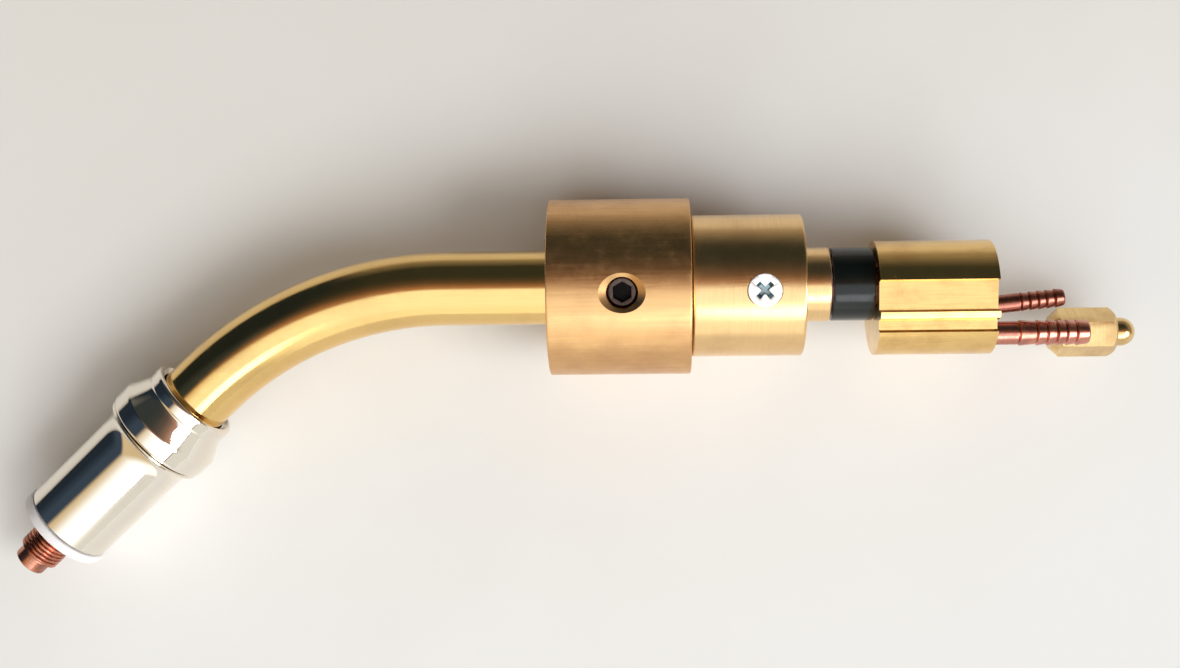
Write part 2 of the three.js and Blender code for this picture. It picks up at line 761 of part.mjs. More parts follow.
function ballNipple() {
  const outer = nippleDiameter / 2;
  const collar = nutBore / 2 - fit;
  const bore = nippleBore / 2;
  const socket = pipeDiameter / 2 + fit;
  const tip = Math.asin(bore / outer);
  const dome = Array.from({ length: domeSteps + 1 }, (_, i) => {
    const turn = THREE.MathUtils.lerp(Math.PI / 2, tip, i / domeSteps);
    return [nippleCylinderEnd + outer * Math.cos(turn), outer * Math.sin(turn)];
  });
  return turned([
    [nippleStart, socket], [nippleStart, collar], [nippleStart + nippleCollarLength, collar],
    [nippleStart + nippleCollarLength, outer], ...dome,
    [nippleStart + nippleSocketDepth, bore], [nippleStart + nippleSocketDepth, socket],
  ], smallTurn);
}

function returnLine() {
  const outer = pipeDiameter / 2;
  const pipeEnd = nippleStart + nippleSocketDepth - fit;
  const group = groupOf(
    mesh('return_pipe', pipe(-pipeSink, pipeEnd, outer, outer - pipeWall, hiddenTurn), copper),
    mesh('union_nut', unionNut(), polishedBrass),
    mesh('ball_nose_nipple', ballNipple(), polishedBrass),
  );
  group.position.set(blockLength, returnPort.y, returnPort.z);
  return group;
}

// An O-ring that lies in a groove of the block's bore, round one of the inner tubes.
function blockSeal(name, station, radius) {
  const ring = sealRing(station, radius + fit + sealSection / 2, sealSection, hiddenTurn);
  return mesh(name, ring.translate(0, blockOffset, 0), blackRubber);
}

function sealGroove(station, radius) {
  const reach = sealSection / 2 + fit;
  return rod(station - reach, station + reach, radius + sealSection + 2 * fit, smallTurn)
    .translate(0, blockOffset, 0);
}

function rearSection() {
  const group = groupOf(
    mesh('connector_block', connectorBlock(), blockBrass),
    blockSeal('jacket_o_ring', jacketSealStation, waterOuter),
    blockSeal('conductor_o_ring', conductorSealStation, conductorOuter),
    hoseBarbIn('water_barb', waterBarb),
    hoseBarbIn('gas_barb', gasBarb),
    returnLine(),
  );
  group.position.set(blockStart, -blockOffset, 0);
  return group;
}

// Angle about the body axis at which the sleeve and the insulator's rim both touch the bench.
function restingRoll() {
  const sleeve = sleeveDiameter / 2;
  const rim = insulatorRim / 2;
  const reach = rimEnd - seatEdge + bendRadius * Math.tan(bendAngle / 2);
  const square = reach ** 2 + rim ** 2;
  const root = Math.sqrt((reach * sleeve) ** 2 - square * (sleeve ** 2 - rim ** 2));
  const dip = (reach * sleeve - root) / square;
  return Math.asin(dip / Math.sin(bendAngle));
}

const torch = groupOf(neckTubes(), nozzleEnd(), bodySection(), rearSection());
torch.rotation.x = restingRoll();

const part = groupOf(torch);
part.updateMatrixWorld(true);
const box = new THREE.Box3().setFromObject(part, true);
const middle = box.getCenter(new THREE.Vector3());
part.position.set(-middle.x, -middle.y, -box.min.z);
part.updateMatrixWorld(true);

export default part;
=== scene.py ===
"""Water-cooled swan neck of a machine MIG torch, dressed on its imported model.

The neck lies on a pale bench. Each sub-assembly is a class that holds its sizes in millimetres, in
the torch's own frame: X runs along the body axis to the hoses, the neck bends towards -Y and the
set screw stands up along +Z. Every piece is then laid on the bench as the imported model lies.
"""
import logging
import math
from dataclasses import dataclass, field
from enum import Enum

import bmesh
import bpy
from mathutils import Euler, Matrix, Vector


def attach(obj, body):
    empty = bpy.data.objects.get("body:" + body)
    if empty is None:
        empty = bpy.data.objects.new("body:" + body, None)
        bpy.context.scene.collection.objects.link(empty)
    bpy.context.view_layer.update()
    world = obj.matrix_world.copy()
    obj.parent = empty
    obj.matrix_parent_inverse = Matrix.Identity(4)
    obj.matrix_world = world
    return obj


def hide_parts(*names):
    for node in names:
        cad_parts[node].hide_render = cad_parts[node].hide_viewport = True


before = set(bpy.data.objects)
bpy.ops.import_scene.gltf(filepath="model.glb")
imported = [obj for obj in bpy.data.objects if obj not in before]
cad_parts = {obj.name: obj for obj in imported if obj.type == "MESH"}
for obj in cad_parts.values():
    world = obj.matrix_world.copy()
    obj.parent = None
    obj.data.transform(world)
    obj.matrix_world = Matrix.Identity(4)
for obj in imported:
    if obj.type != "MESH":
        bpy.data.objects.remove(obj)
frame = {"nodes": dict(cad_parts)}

LOG = logging.getLogger("torch")
MM = 0.001
FIT = 0.3  # clearance between pieces that fit together, in millimetres
OVERCUT = 1.0  # how far a cutting tool reaches past the face that it enters, in millimetres
RING_SIDES = 128  # facets round a turned piece
SMALL_SIDES = 96  # facets round a barb or the nipple
HOLE_SIDES = 64  # facets round a hole, a screw or the thin pipe
SMOOTH_DEG = 28  # faces that fold by less than this are shaded as one
NEAR = 1e-6  # lengths below this count as nothing
FLANK = 2.0  # how steeply the flank of a thread falls
CREST = 0.9  # the crest of a thread takes CREST / FLANK of its pitch
ROUND_SHARE = 0.4  # the most of a side that the rounding of its corner takes
SUPPORT = 1.8  # a support point stands this many roundings from its corner
SUPPORT_SHARE = 0.48  # the most of a side that lies between corner and support point
CORNER_POINTS = 6  # points that softened makes of one corner in its usual three steps
HALVINGS = 40  # steps of the search for the edge where a slot leaves the block's surface

Colour = tuple[float, float, float]
Point = tuple[float, float, float]
Span = tuple[float, float]
Profile = list[tuple[float, float]]
Shape = bpy.types.Object
Socket = bpy.types.NodeSocket


class Body(Enum):
    """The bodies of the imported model."""

    NECK = "neck"
    MOUNTING_SLEEVE = "mounting_sleeve"
    CLAMP_PAD = "clamp_pad"
    SET_SCREW = "set_screw"
    UNION_NUT = "union_nut"


class Slot(Enum):
    """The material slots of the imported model."""

    POLISHED_BRASS = "polished_brass"
    TURNED_BRASS = "turned_brass"
    BLOCK_BRASS = "block_brass"
    COPPER = "copper"
    CHROME = "chrome"
    ZINC_STEEL = "zinc_steel"
    BLACK_STEEL = "black_steel"
    WHITE_PLASTIC = "white_plastic"
    BLACK_PLASTIC = "black_plastic"
    BLACK_RUBBER = "black_rubber"


# Shapes


@dataclass(frozen=True)
class Thread:
    """A screw thread on one cylinder of a turned piece, in millimetres.

    A negative depth cuts the thread outwards, as in a tool that leaves a tapped hole.
    """

    start: float
    end: float
    crest: float
    pitch: float
    depth: float

    def stations(self, steps: int = 8) -> Profile:
        """Lists the corners along the thread's cylinder, all at the crest, so many in one pitch."""
        count = round((self.end - self.start) / self.pitch * steps)
        return [(station, self.crest) for station in spaced(self.start, self.end, count)]

    def radius_at(self, station: float, radius: float, turn: float) -> float:
        """Gives the radius of the helical groove at one point.

        Args:
            station: Distance along the axis.
            radius: Radius of the plain profile there.
            turn: Angle about the axis, in radians.

        Returns:
            The radius with the thread cut in.
        """
        inside = self.start - NEAR <= station <= self.end + NEAR
        if not inside or abs(radius - self.crest) > NEAR:
            return radius
        phase = (station / self.pitch - turn / math.tau) % 1
        ridge = min(1.0, max(0.0, FLANK * abs(2 * phase - 1) - CREST))
        run_out = min(1.0, (station - self.start) / self.pitch, (self.end - station) / self.pitch)
        return radius - self.depth * ridge * max(run_out, 0.0)


def spaced(start: float, end: float, count: int) -> list[float]:
    """Divides the way from start to end into equal steps, both ends included."""
    return [start + (end - start) * i / count for i in range(count + 1)]


def arc(radius: float, turns: list[float], x: float = 0, y: float = 0) -> Profile:
    """Lists the points of an arc about a middle, at angles in radians."""
    return [(x + radius * math.cos(turn), y + radius * math.sin(turn)) for turn in turns]


def hexagon(across_flats: float) -> Profile:
    """Gives the corners of a hexagon, the first one on the Y axis."""
    return arc(across_flats / math.sqrt(3), spaced(0, math.tau, 6)[:-1])


def stepped(*steps: tuple[float, float]) -> Profile:
    """Draws a right-angled profile.

    Args:
        *steps: Each station at which the profile steps, with the radius that it steps to.

    Returns:
        The [station, radius] corners, which close on themselves.
    """
    corners: Profile = []
    for (_, old), (station, new) in zip((steps[-1], *steps), steps):
        corners += [(station, old), (station, new)]
    return corners


def softened(profile: Profile, radius: float, steps: int = 3, sharp_deg: float = 12) -> Profile:
    """Rounds the corners of a closed profile and adds support points beside each rounding.

    Args:
        profile: The [station, radius] corners; a profile that starts on the axis stays open.
        radius: Rounding of a corner whose sides are long enough.
        steps: Points along each rounding.
        sharp_deg: Corners that turn by less than this stay as they are.

    Returns:
        The rounded corners.
    """
    opened = profile[0][1] <= 0
    rounded: Profile = []
    count = len(profile)
    for i, here in enumerate(profile):
        if opened and i in (0, count - 1):
            rounded.append(here)
            continue
        point = Vector(here)
        before = Vector(profile[i - 1]) - point
        after = Vector(profile[(i + 1) % count]) - point
        side = min(before.length, after.length)
        if side < NEAR or math.degrees(before.angle(-after)) < sharp_deg:
            rounded.append(here)
            continue
        reach = min(radius, ROUND_SHARE * before.length, ROUND_SHARE * after.length)
        support = min(SUPPORT * reach, SUPPORT_SHARE * side)
        into, out = before.normalized(), after.normalized()
        rounded.append(tuple(point + into * support))
        for step in range(steps + 1):
            share = step / steps
            near = point + into * reach * (1 - share) ** 2 + out * reach * share**2
            rounded.append(tuple(near))
        rounded.append(tuple(point + out * support))
    return rounded


def bridge(shape: bmesh.types.BMesh, one: list, other: list) -> None:
    """Joins two rings of vertices, or a ring and a point on the axis, with faces.

    Args:
        shape: The mesh in work.
        one: The first ring, or a list of one vertex.
        other: The next one.
    """
    if len(one) == len(other) == 1:
        return
    sides = max(len(one), len(other))
    for i in range(sides):
        k = (i + 1) % sides
        if len(one) == 1:
            shape.faces.new((one[0], other[i], other[k]))
        elif len(other) == 1:
            shape.faces.new((one[k], one[i], other[0]))
        else:
            shape.faces.new((one[k], one[i], other[i], other[k]))


def skin(shape: bmesh.types.BMesh, rings: list[list]) -> None:
    """Joins rings of vertices one after another with faces."""
    for one, other in zip(rings, rings[1:]):
        bridge(shape, one, other)


def linked(name: str, data: bpy.types.ID) -> Shape:
    """Adds an object to the scene.

    Args:
        name: The object's name.
        data: Its mesh, light or camera.

    Returns:
        The object.
    """
    made = bpy.data.objects.new(name, data)
    bpy.context.scene.collection.objects.link(made)
    return made


def to_object(shape: bmesh.types.BMesh, name: str = "tool") -> Shape:
    """Turns a finished shape into an object with its faces pointing out.

    Args:
        shape: The mesh in work; it is freed.
        name: The object's name.

    Returns:
        The new object, linked to the scene.
    """
    bmesh.ops.remove_doubles(shape, verts=shape.verts, dist=1e-8)
    bmesh.ops.recalc_face_normals(shape, faces=shape.faces)
    mesh = bpy.data.meshes.new(name)
    shape.to_mesh(mesh)
    shape.free()
    return linked(name, mesh)


def turned(profile: Profile, sides: int = RING_SIDES, thread: Thread | None = None) -> Shape:
    """Revolves a profile about the X axis.

    Args:
        profile: The [station, radius] corners. Off the axis the profile closes on itself.
        sides: Facets round a full turn.
        thread: A thread to cut where the profile lies on its crest.

    Returns:
        The closed object.
    """
    shape = bmesh.new()
    rings: list[list] = []
    for station, radius in profile:
        ring = []
        for i in range(1 if radius <= 0 else sides):
            turn = math.tau * i / sides
            reach = thread.radius_at(station, radius, turn) if thread else radius
            place = (station * MM, reach * math.cos(turn) * MM, reach * math.sin(turn) * MM)
            ring.append(shape.verts.new(place))
        rings.append(ring)
    if profile[0][1] > 0:
        rings.append(rings[0])
    skin(shape, rings)
    return to_object(shape)


def lathe(profile: Profile, rounding: float, steps: int = 3, sides: int = RING_SIDES) -> Shape:
    """Revolves a profile about the X axis with its corners rounded."""
    return turned(softened(profile, rounding, steps), sides)


def rod(start: float, end: float, radius: float, sides: int = HOLE_SIDES) -> Shape:
    """Makes a plain cylinder along X, mostly as a drill."""
    return turned(stepped((start, radius), (end, 0)), sides)


def loft(*sections: tuple[float, Profile]) -> Shape:
    """Joins outlines drawn in (Y, Z) one behind another along X.

    Args:
        *sections: Each station with its outline, all with the same number of corners.

    Returns:
        The closed object.
    """
    shape = bmesh.new()
    rings = []
    for x, outline in sections:
        rings.append([shape.verts.new((x * MM, y * MM, z * MM)) for y, z in outline])
    skin(shape, rings)
    for ring in (rings[0], rings[-1]):
        shape.faces.new(ring)
    return to_object(shape)


def prism(outline: Profile, start: float, end: float) -> Shape:
    """Extrudes an outline drawn in (Y, Z) along X."""
    return loft((start, outline), (end, outline))


def settle(piece: Shape) -> Shape:
    """Applies a piece's modifiers to its mesh.

    Args:
        piece: The piece with its modifiers.

    Returns:
        The same piece, without modifiers.
    """
    depsgraph = bpy.context.evaluated_depsgraph_get()
    baked = bpy.data.meshes.new_from_object(piece.evaluated_get(depsgraph), depsgraph=depsgraph)
    piece.modifiers.clear()
    piece.data, old = baked, piece.data
    bpy.data.meshes.remove(old)
    return piece


def worked(piece: Shape, operation: str, *tools: Shape) -> Shape:
    """Cuts, joins or intersects a piece with tools, which are used up.

    Args:
        piece: The piece to work on.
        operation: DIFFERENCE, UNION or INTERSECT.
        *tools: The cutting or joining shapes.

    Returns:
        The worked piece.
    """
    for tool in tools:
        step = piece.modifiers.new("work", "BOOLEAN")
        step.operation = operation
        step.solver = "EXACT"
        step.object = tool
        settle(piece)
        bpy.data.objects.remove(tool)
    return piece


def broken_edges(piece: Shape, width: float, angle_deg: float = 30) -> Shape:
    """Breaks the sharp edges of a piece, as a file or a deburring tool does.

    Args:
        piece: The piece.
        width: Width of the broken edge, in millimetres.
        angle_deg: Edges that fold by more than this are broken.

    Returns:
        The same piece.
    """
    step = piece.modifiers.new("edges", "BEVEL")
    step.width = width * MM
    step.segments = 3
    step.limit_method = "ANGLE"
    step.angle_limit = math.radians(angle_deg)
    step.use_clamp_overlap = True
    return settle(piece)


def marked(piece: Shape, axis: Matrix, radius: float, below: float) -> Shape:
    """Gives the faces round an axis the piece's second finish: painted shade in a recess.

    Args:
        piece: The piece.
        axis: The frame whose X axis is the hole's, in the piece's frame.
        radius: Faces nearer to the axis than this are marked, in millimetres.
        below: Only faces below this station are marked.

    Returns:
        The same piece.
    """
    back = axis.inverted()
    for face in piece.data.polygons:
        station, y, z = (back @ face.center) / MM
        face.material_index = int(0 < station < below and math.hypot(y, z) < radius)
    return piece


def moved(piece: Shape, matrix: Matrix) -> Shape:
    """Moves a shape's mesh within its own frame."""
    piece.data.transform(matrix)
    return piece


def shift(x: float = 0, y: float = 0, z: float = 0) -> Matrix:
    """Gives a move in millimetres."""
    return Matrix.Translation((x * MM, y * MM, z * MM))


# Finishes

GRAIN = 33.0  # tool marks are this many times longer than wide
SMEARS = 260  # smears per metre
SPOTS = 700  # dark spots per metre
PITS = 3500  # fine pits per metre
MARK_DEPTH = 0.05  # depth of the tool marks at full strength, in millimetres
PIT_DEPTH = 0.03  # depth of the pits, in millimetres
PLASTIC_MARKS = 2500  # tool marks per metre on plastic
PLASTIC_CLOUDS = 150  # pale and dark patches per metre on plastic


class Wiring:
    """Wires the nodes of one tree, from left to right."""

    def __init__(self, tree: bpy.types.NodeTree) -> None:
        """Starts with the tree's own nodes."""
        self.nodes = tree.nodes
        self.links = tree.links

    def fill(self, socket: Socket, value: Socket | float | Colour) -> None:
        """Links an output to an input, or sets the input's uniform value.

        Args:
            socket: The input.
            value: The output, or the value.
        """
        if isinstance(value, Socket):
            self.links.new(value, socket)
        else:
            socket.default_value = (*value, 1) if socket.type == "RGBA" else value

    def node(self, kind: str, **inputs: Socket | float | Colour) -> bpy.types.Node:
        """Adds a node and fills its inputs.

        Args:
            kind: The node's kind, without the ShaderNode before it.
            **inputs: What to fill each input with; underscores stand for spaces.

        Returns:
            The node.
        """
        made = self.nodes.new(f"ShaderNode{kind}")
        for key, value in inputs.items():
            self.fill(made.inputs[key.replace("_", " ")], value)
        return made

    def noise(self, place: Socket, scale: float, detail: float = 4, rough: float = 0.55) -> Socket:
        """Adds a noise from 0 to 1; its scale is in features per metre, its detail in octaves."""
        node = self.node("TexNoise", Vector=place, Scale=scale, Detail=detail, Roughness=rough)
        return node.outputs["Fac"]

    def remap(self, value: Socket, span: Span, out: Span) -> Socket:
        """Maps a value from one span to another, smoothly and clamped.

        Args:
            value: The value.
            span: The span that it is read over.
            out: What the ends of that span become.

        Returns:
            The mapped value.
        """
        node = self.node("MapRange", Value=value, From_Min=span[0], From_Max=span[1],
                         To_Min=out[0], To_Max=out[1])
        node.interpolation_type = "SMOOTHSTEP"
        return node.outputs["Result"]

    def fade(self, value: Socket, edge: Span) -> Socket:
        """Fades smoothly from 0 at the first number of an edge to 1 at the second.

        Args:
            value: The value that the edge is read over.
            edge: Where the fade starts and ends; it may fall.

        Returns:
            The share, from 0 to 1.
        """
        start, end = edge
        if start < end:
            return self.remap(value, edge, (0, 1))
        return self.remap(value, (end, start), (1, 0))

    def blend(self, share: Socket, one: Socket | Colour, other: Socket | Colour) -> Socket:
        """Mixes one colour towards another by a share that varies over the surface.

        Args:
            share: The share of the other colour.
            one: The colour at a share of 0.
            other: The colour at a share of 1.

        Returns:
            The mixed colour.
        """
        node = self.node("Mix")
        node.data_type = "RGBA"
        for index, value in ((0, share), (6, one), (7, other)):
            self.fill(node.inputs[index], value)
        return node.outputs[2]

    def math(self, operation: str, one: Socket, other: Socket | float) -> Socket:
        """Combines two values.

        Args:
            operation: ADD, SUBTRACT, MULTIPLY or MAXIMUM.
            one: The first value.
            other: The second one, or a number.

        Returns:
            The result.
        """
        node = self.node("Math")
        node.operation = operation
        for socket, value in zip(node.inputs, (one, other)):
            self.fill(socket, value)
        return node.outputs[0]

    def parts(self, vector: Socket) -> bpy.types.NodeOutputs:
        """Splits a vector into its X, Y and Z."""
        return self.node("SeparateXYZ", Vector=vector).outputs

    def ramp(self, value: Socket, *stops: tuple[float, Colour, float]) -> bpy.types.NodeOutputs:
        """Gives a run of colours along a value.

        Args:
            value: The value, from 0 to 1.
            *stops: The [position, colour, cover] stops.

        Returns:
            The colour and its cover.
        """
        node = self.node("ValToRGB", Fac=value)
        elements = node.color_ramp.elements
        while len(elements) < len(stops):
            elements.new(0.5)
        for element, (position, colour, cover) in zip(elements, stops):
            element.position = position
            element.color = (*colour, cover)
        return node.outputs


class Sheet(Wiring):
    """Wires one material."""

    def __init__(self, name: str, turn: Euler | None = None) -> None:
        """Starts a material with one shader.

        Args:
            name: The material's name.
            turn: Turn of the piece's own axes, which its tool marks follow.
        """
        self.turn = turn or Euler()
        self.material = bpy.data.materials.new(name)
        self.material.use_nodes = True
        super().__init__(self.material.node_tree)
        self.shader = self.nodes["Principled BSDF"]
        self.place = self.node("TexCoord").outputs["Object"]

    def set(self, **inputs: Socket | float | Colour) -> None:
        """Fills the shader's own inputs; underscores stand for spaces."""
        for key, value in inputs.items():
            self.fill(self.shader.inputs[key.replace("_", " ")], value)

    def stretched(self, stretch: Point) -> Socket:
        """Gives the object's coordinates on the piece's own axes, stretched along each by a factor.

        Args:
            stretch: The three factors.

        Returns:
            The coordinates.
        """
        node = self.node("Mapping", Rotation=self.turn, Scale=stretch, Vector=self.place)
        node.vector_type = "TEXTURE"
        return node.outputs["Vector"]

    def roughen(
        self, marks: Socket, smear: Socket, middle: float, swing: float, haze: float
    ) -> None:
        """Varies the shader's roughness with the tool marks and with smears.

        Args:
            marks: The tool marks.
            smear: The smears.
            middle: The roughness between the marks' highs and lows.
            swing: How far the marks move it either way.
            haze: How much the smears add.
        """
        lined = self.remap(marks, (0.3, 0.8), (middle - swing, middle + swing))
        hazed = self.remap(smear, (0.4, 0.8), (0.0, haze))
        self.set(Roughness=self.math("ADD", lined, hazed))

    def relief(self, height: Socket, strength: float, depth: float) -> None:
        """Turns a height into relief on the shader, stacked on any relief already there.

        Args:
            height: The height, from 0 to 1.
            strength: Strength of the relief.
            depth: Its depth, in millimetres.
        """
        node = self.node("Bump", Strength=strength, Distance=depth * MM, Height=height)
        normal = self.shader.inputs["Normal"]
        if normal.is_linked:
            self.links.new(normal.links[0].from_socket, node.inputs["Normal"])
        self.links.new(node.outputs["Normal"], normal)


@dataclass(frozen=True)
class MetalFinish:
    """A bare or plated metal with tool marks round its axis, tarnish and small nicks.

    Tool marks run round the piece's axis, or along it where along is set.
    """

    colour: Colour
    tarnish: Colour
    tarnish_share: float
    tarnish_scale: float
    roughness: float
    spread: float
    marks: float
    marks_per_mm: float
    along: bool = False
    speckle: float = 0.0

    def material(self, turn: Euler, name: str) -> bpy.types.Material:
        """Builds the finish.

        Args:
            turn: Turn of the piece's own axes.
            name: Name of the material.

        Returns:
            The material.
        """
        sheet = Sheet(name, turn)
        sheet.set(Metallic=1.0, Base_Color=self.colour)
        stretch = (GRAIN, 1.0, 1.0) if self.along else (1.0, GRAIN, GRAIN)
        marks = sheet.noise(sheet.stretched(stretch), self.marks_per_mm / MM, 3, 0.6)
        clouds = sheet.noise(sheet.place, self.tarnish_scale, 6, 0.62)
        share = sheet.remap(clouds, (0.42, 0.72), (0.0, self.tarnish_share))
        colour = sheet.blend(share, self.colour, self.tarnish)
        streaks = sheet.remap(marks, (0.35, 0.75), (0.0, 0.5 * self.tarnish_share))
        colour = sheet.blend(streaks, colour, self.tarnish)
        if self.speckle:
            spots = sheet.noise(sheet.place, SPOTS, 2, 0.5)
            share = sheet.remap(spots, (0.74, 0.80), (0.0, self.speckle))
            colour = sheet.blend(share, colour, tuple(0.3 * c for c in self.tarnish))
        sheet.set(Base_Color=colour)
        smear = sheet.noise(sheet.place, SMEARS, 5, 0.6)
        sheet.roughen(marks, smear, self.roughness, self.spread / 3, self.spread)
        sheet.relief(marks, self.marks, MARK_DEPTH)
        sheet.relief(sheet.noise(sheet.place, PITS, 3), 0.25 * self.marks, PIT_DEPTH)
        return sheet.material


@dataclass(frozen=True)
class PlasticFinish:
    """A turned plastic or a moulded rubber."""

    colour: Colour
    shade: Colour
    roughness: float
    marks: float
    specular: float
    subsurface: float = 0.0

    def material(self, turn: Euler, name: str) -> bpy.types.Material:
        """Builds the finish.

        Args:
            turn: Turn of the piece's own axes.
            name: Name of the material.

        Returns:
            The material.
        """
        sheet = Sheet(name, turn)
        sheet.set(Metallic=0.0, Base_Color=self.colour, Specular_IOR_Level=self.specular)
        if self.subsurface:
            sheet.set(Subsurface_Weight=self.subsurface, Subsurface_Scale=1.5 * MM)
        marks = sheet.noise(sheet.stretched((1.0, GRAIN, GRAIN)), PLASTIC_MARKS, 3, 0.6)
        clouds = sheet.noise(sheet.place, PLASTIC_CLOUDS, 5, 0.6)
        share = sheet.remap(clouds, (0.35, 0.75), (0.0, 0.8))
        sheet.set(Base_Color=sheet.blend(share, self.colour, self.shade))
        sheet.roughen(marks, clouds, self.roughness, 0.06, 0.08)
        sheet.relief(marks, self.marks, MARK_DEPTH)
        return sheet.material


@dataclass(frozen=True)
class Palette:
    """All finishes of the torch."""

    neck_brass: MetalFinish = MetalFinish(
        (0.84, 0.575, 0.225), (0.52, 0.30, 0.125), tarnish_share=0.25, tarnish_scale=60,
        roughness=0.12, spread=0.07, marks=0.05, marks_per_mm=4, along=True)
    sleeve_brass: MetalFinish = MetalFinish(
        (0.75, 0.455, 0.205), (0.46, 0.215, 0.11), tarnish_share=0.40, tarnish_scale=60,
        roughness=0.30, spread=0.12, marks=0.10, marks_per_mm=1.6, along=True, speckle=0.15)
    rear_brass: MetalFinish = MetalFinish(
        (0.86, 0.585, 0.285), (0.54, 0.30, 0.15), tarnish_share=0.30, tarnish_scale=80,
        roughness=0.21, spread=0.07, marks=0.06, marks_per_mm=3, speckle=0.3)
    # A darker brass for the faces inside the tapped hole: painted shade in the hole.
    hole_brass: MetalFinish = MetalFinish(
        (0.50, 0.25, 0.16), (0.20, 0.09, 0.07), tarnish_share=0.5, tarnish_scale=300,
        roughness=0.30, spread=0.12, marks=0.12, marks_per_mm=4)
    block_brass: MetalFinish = MetalFinish(
        (0.86, 0.585, 0.23), (0.56, 0.30, 0.11), tarnish_share=0.45, tarnish_scale=130,
        roughness=0.18, spread=0.10, marks=0.08, marks_per_mm=3, along=True)
    nut_brass: MetalFinish = MetalFinish(
        (0.86, 0.62, 0.29), (0.50, 0.28, 0.12), tarnish_share=0.55, tarnish_scale=110,
        roughness=0.15, spread=0.08, marks=0.08, marks_per_mm=3)
    copper: MetalFinish = MetalFinish(
        (0.68, 0.30, 0.22), (0.30, 0.09, 0.075), tarnish_share=0.55, tarnish_scale=220,
        roughness=0.22, spread=0.10, marks=0.08, marks_per_mm=4, speckle=0.2)
    stub_copper: MetalFinish = MetalFinish(
        (0.62, 0.26, 0.17), (0.13, 0.055, 0.045), tarnish_share=0.75, tarnish_scale=260,
        roughness=0.22, spread=0.10, marks=0.08, marks_per_mm=4, speckle=0.2)
    # Darker copper: painted shade on the gas barb, beside the water barb; its roughness is its own.
    dull_copper: MetalFinish = MetalFinish(
        (0.42, 0.16, 0.115), (0.22, 0.07, 0.055), tarnish_share=0.55, tarnish_scale=220,
        roughness=0.27, spread=0.10, marks=0.08, marks_per_mm=4, speckle=0.2)
    chrome: MetalFinish = MetalFinish(
        (0.88, 0.82, 0.73), (0.62, 0.56, 0.48), tarnish_share=0.15, tarnish_scale=70,
        roughness=0.05, spread=0.05, marks=0.025, marks_per_mm=3)
    zinc: MetalFinish = MetalFinish(
        (0.94, 0.94, 0.94), (0.66, 0.70, 0.72), tarnish_share=0.25, tarnish_scale=400,
        roughness=0.25, spread=0.12, marks=0.08, marks_per_mm=5)
    # A dark blue-grey zinc for the screw's cross recess: painted shade in the recess.
    zinc_recess: MetalFinish = MetalFinish(
        (0.34, 0.44, 0.47), (0.14, 0.20, 0.22), tarnish_share=0.5, tarnish_scale=600,
        roughness=0.30, spread=0.12, marks=0.08, marks_per_mm=5)
    black_steel: MetalFinish = MetalFinish(
        (0.12, 0.085, 0.075), (0.05, 0.035, 0.032), tarnish_share=0.6, tarnish_scale=300,
        roughness=0.32, spread=0.15, marks=0.12, marks_per_mm=4)
    # Near-black steel for the set screw's hexagon socket: painted shade in the socket.
    socket_black: MetalFinish = MetalFinish(
        (0.012, 0.011, 0.010), (0.006, 0.006, 0.006), tarnish_share=0.6, tarnish_scale=300,
        roughness=0.30, spread=0.15, marks=0.12, marks_per_mm=4)
    white_plastic: PlasticFinish = PlasticFinish(
        (0.88, 0.87, 0.89), (0.80, 0.79, 0.82), roughness=0.42, marks=0.12, specular=0.45,
        subsurface=0.15)
    black_plastic: PlasticFinish = PlasticFinish(
        (0.004, 0.007, 0.006), (0.008, 0.011, 0.010), roughness=0.16, marks=0.04, specular=0.42)
    black_rubber: PlasticFinish = PlasticFinish(
        (0.012, 0.012, 0.012), (0.02, 0.02, 0.02), roughness=0.6, marks=0.1, specular=0.35)


# Placing pieces


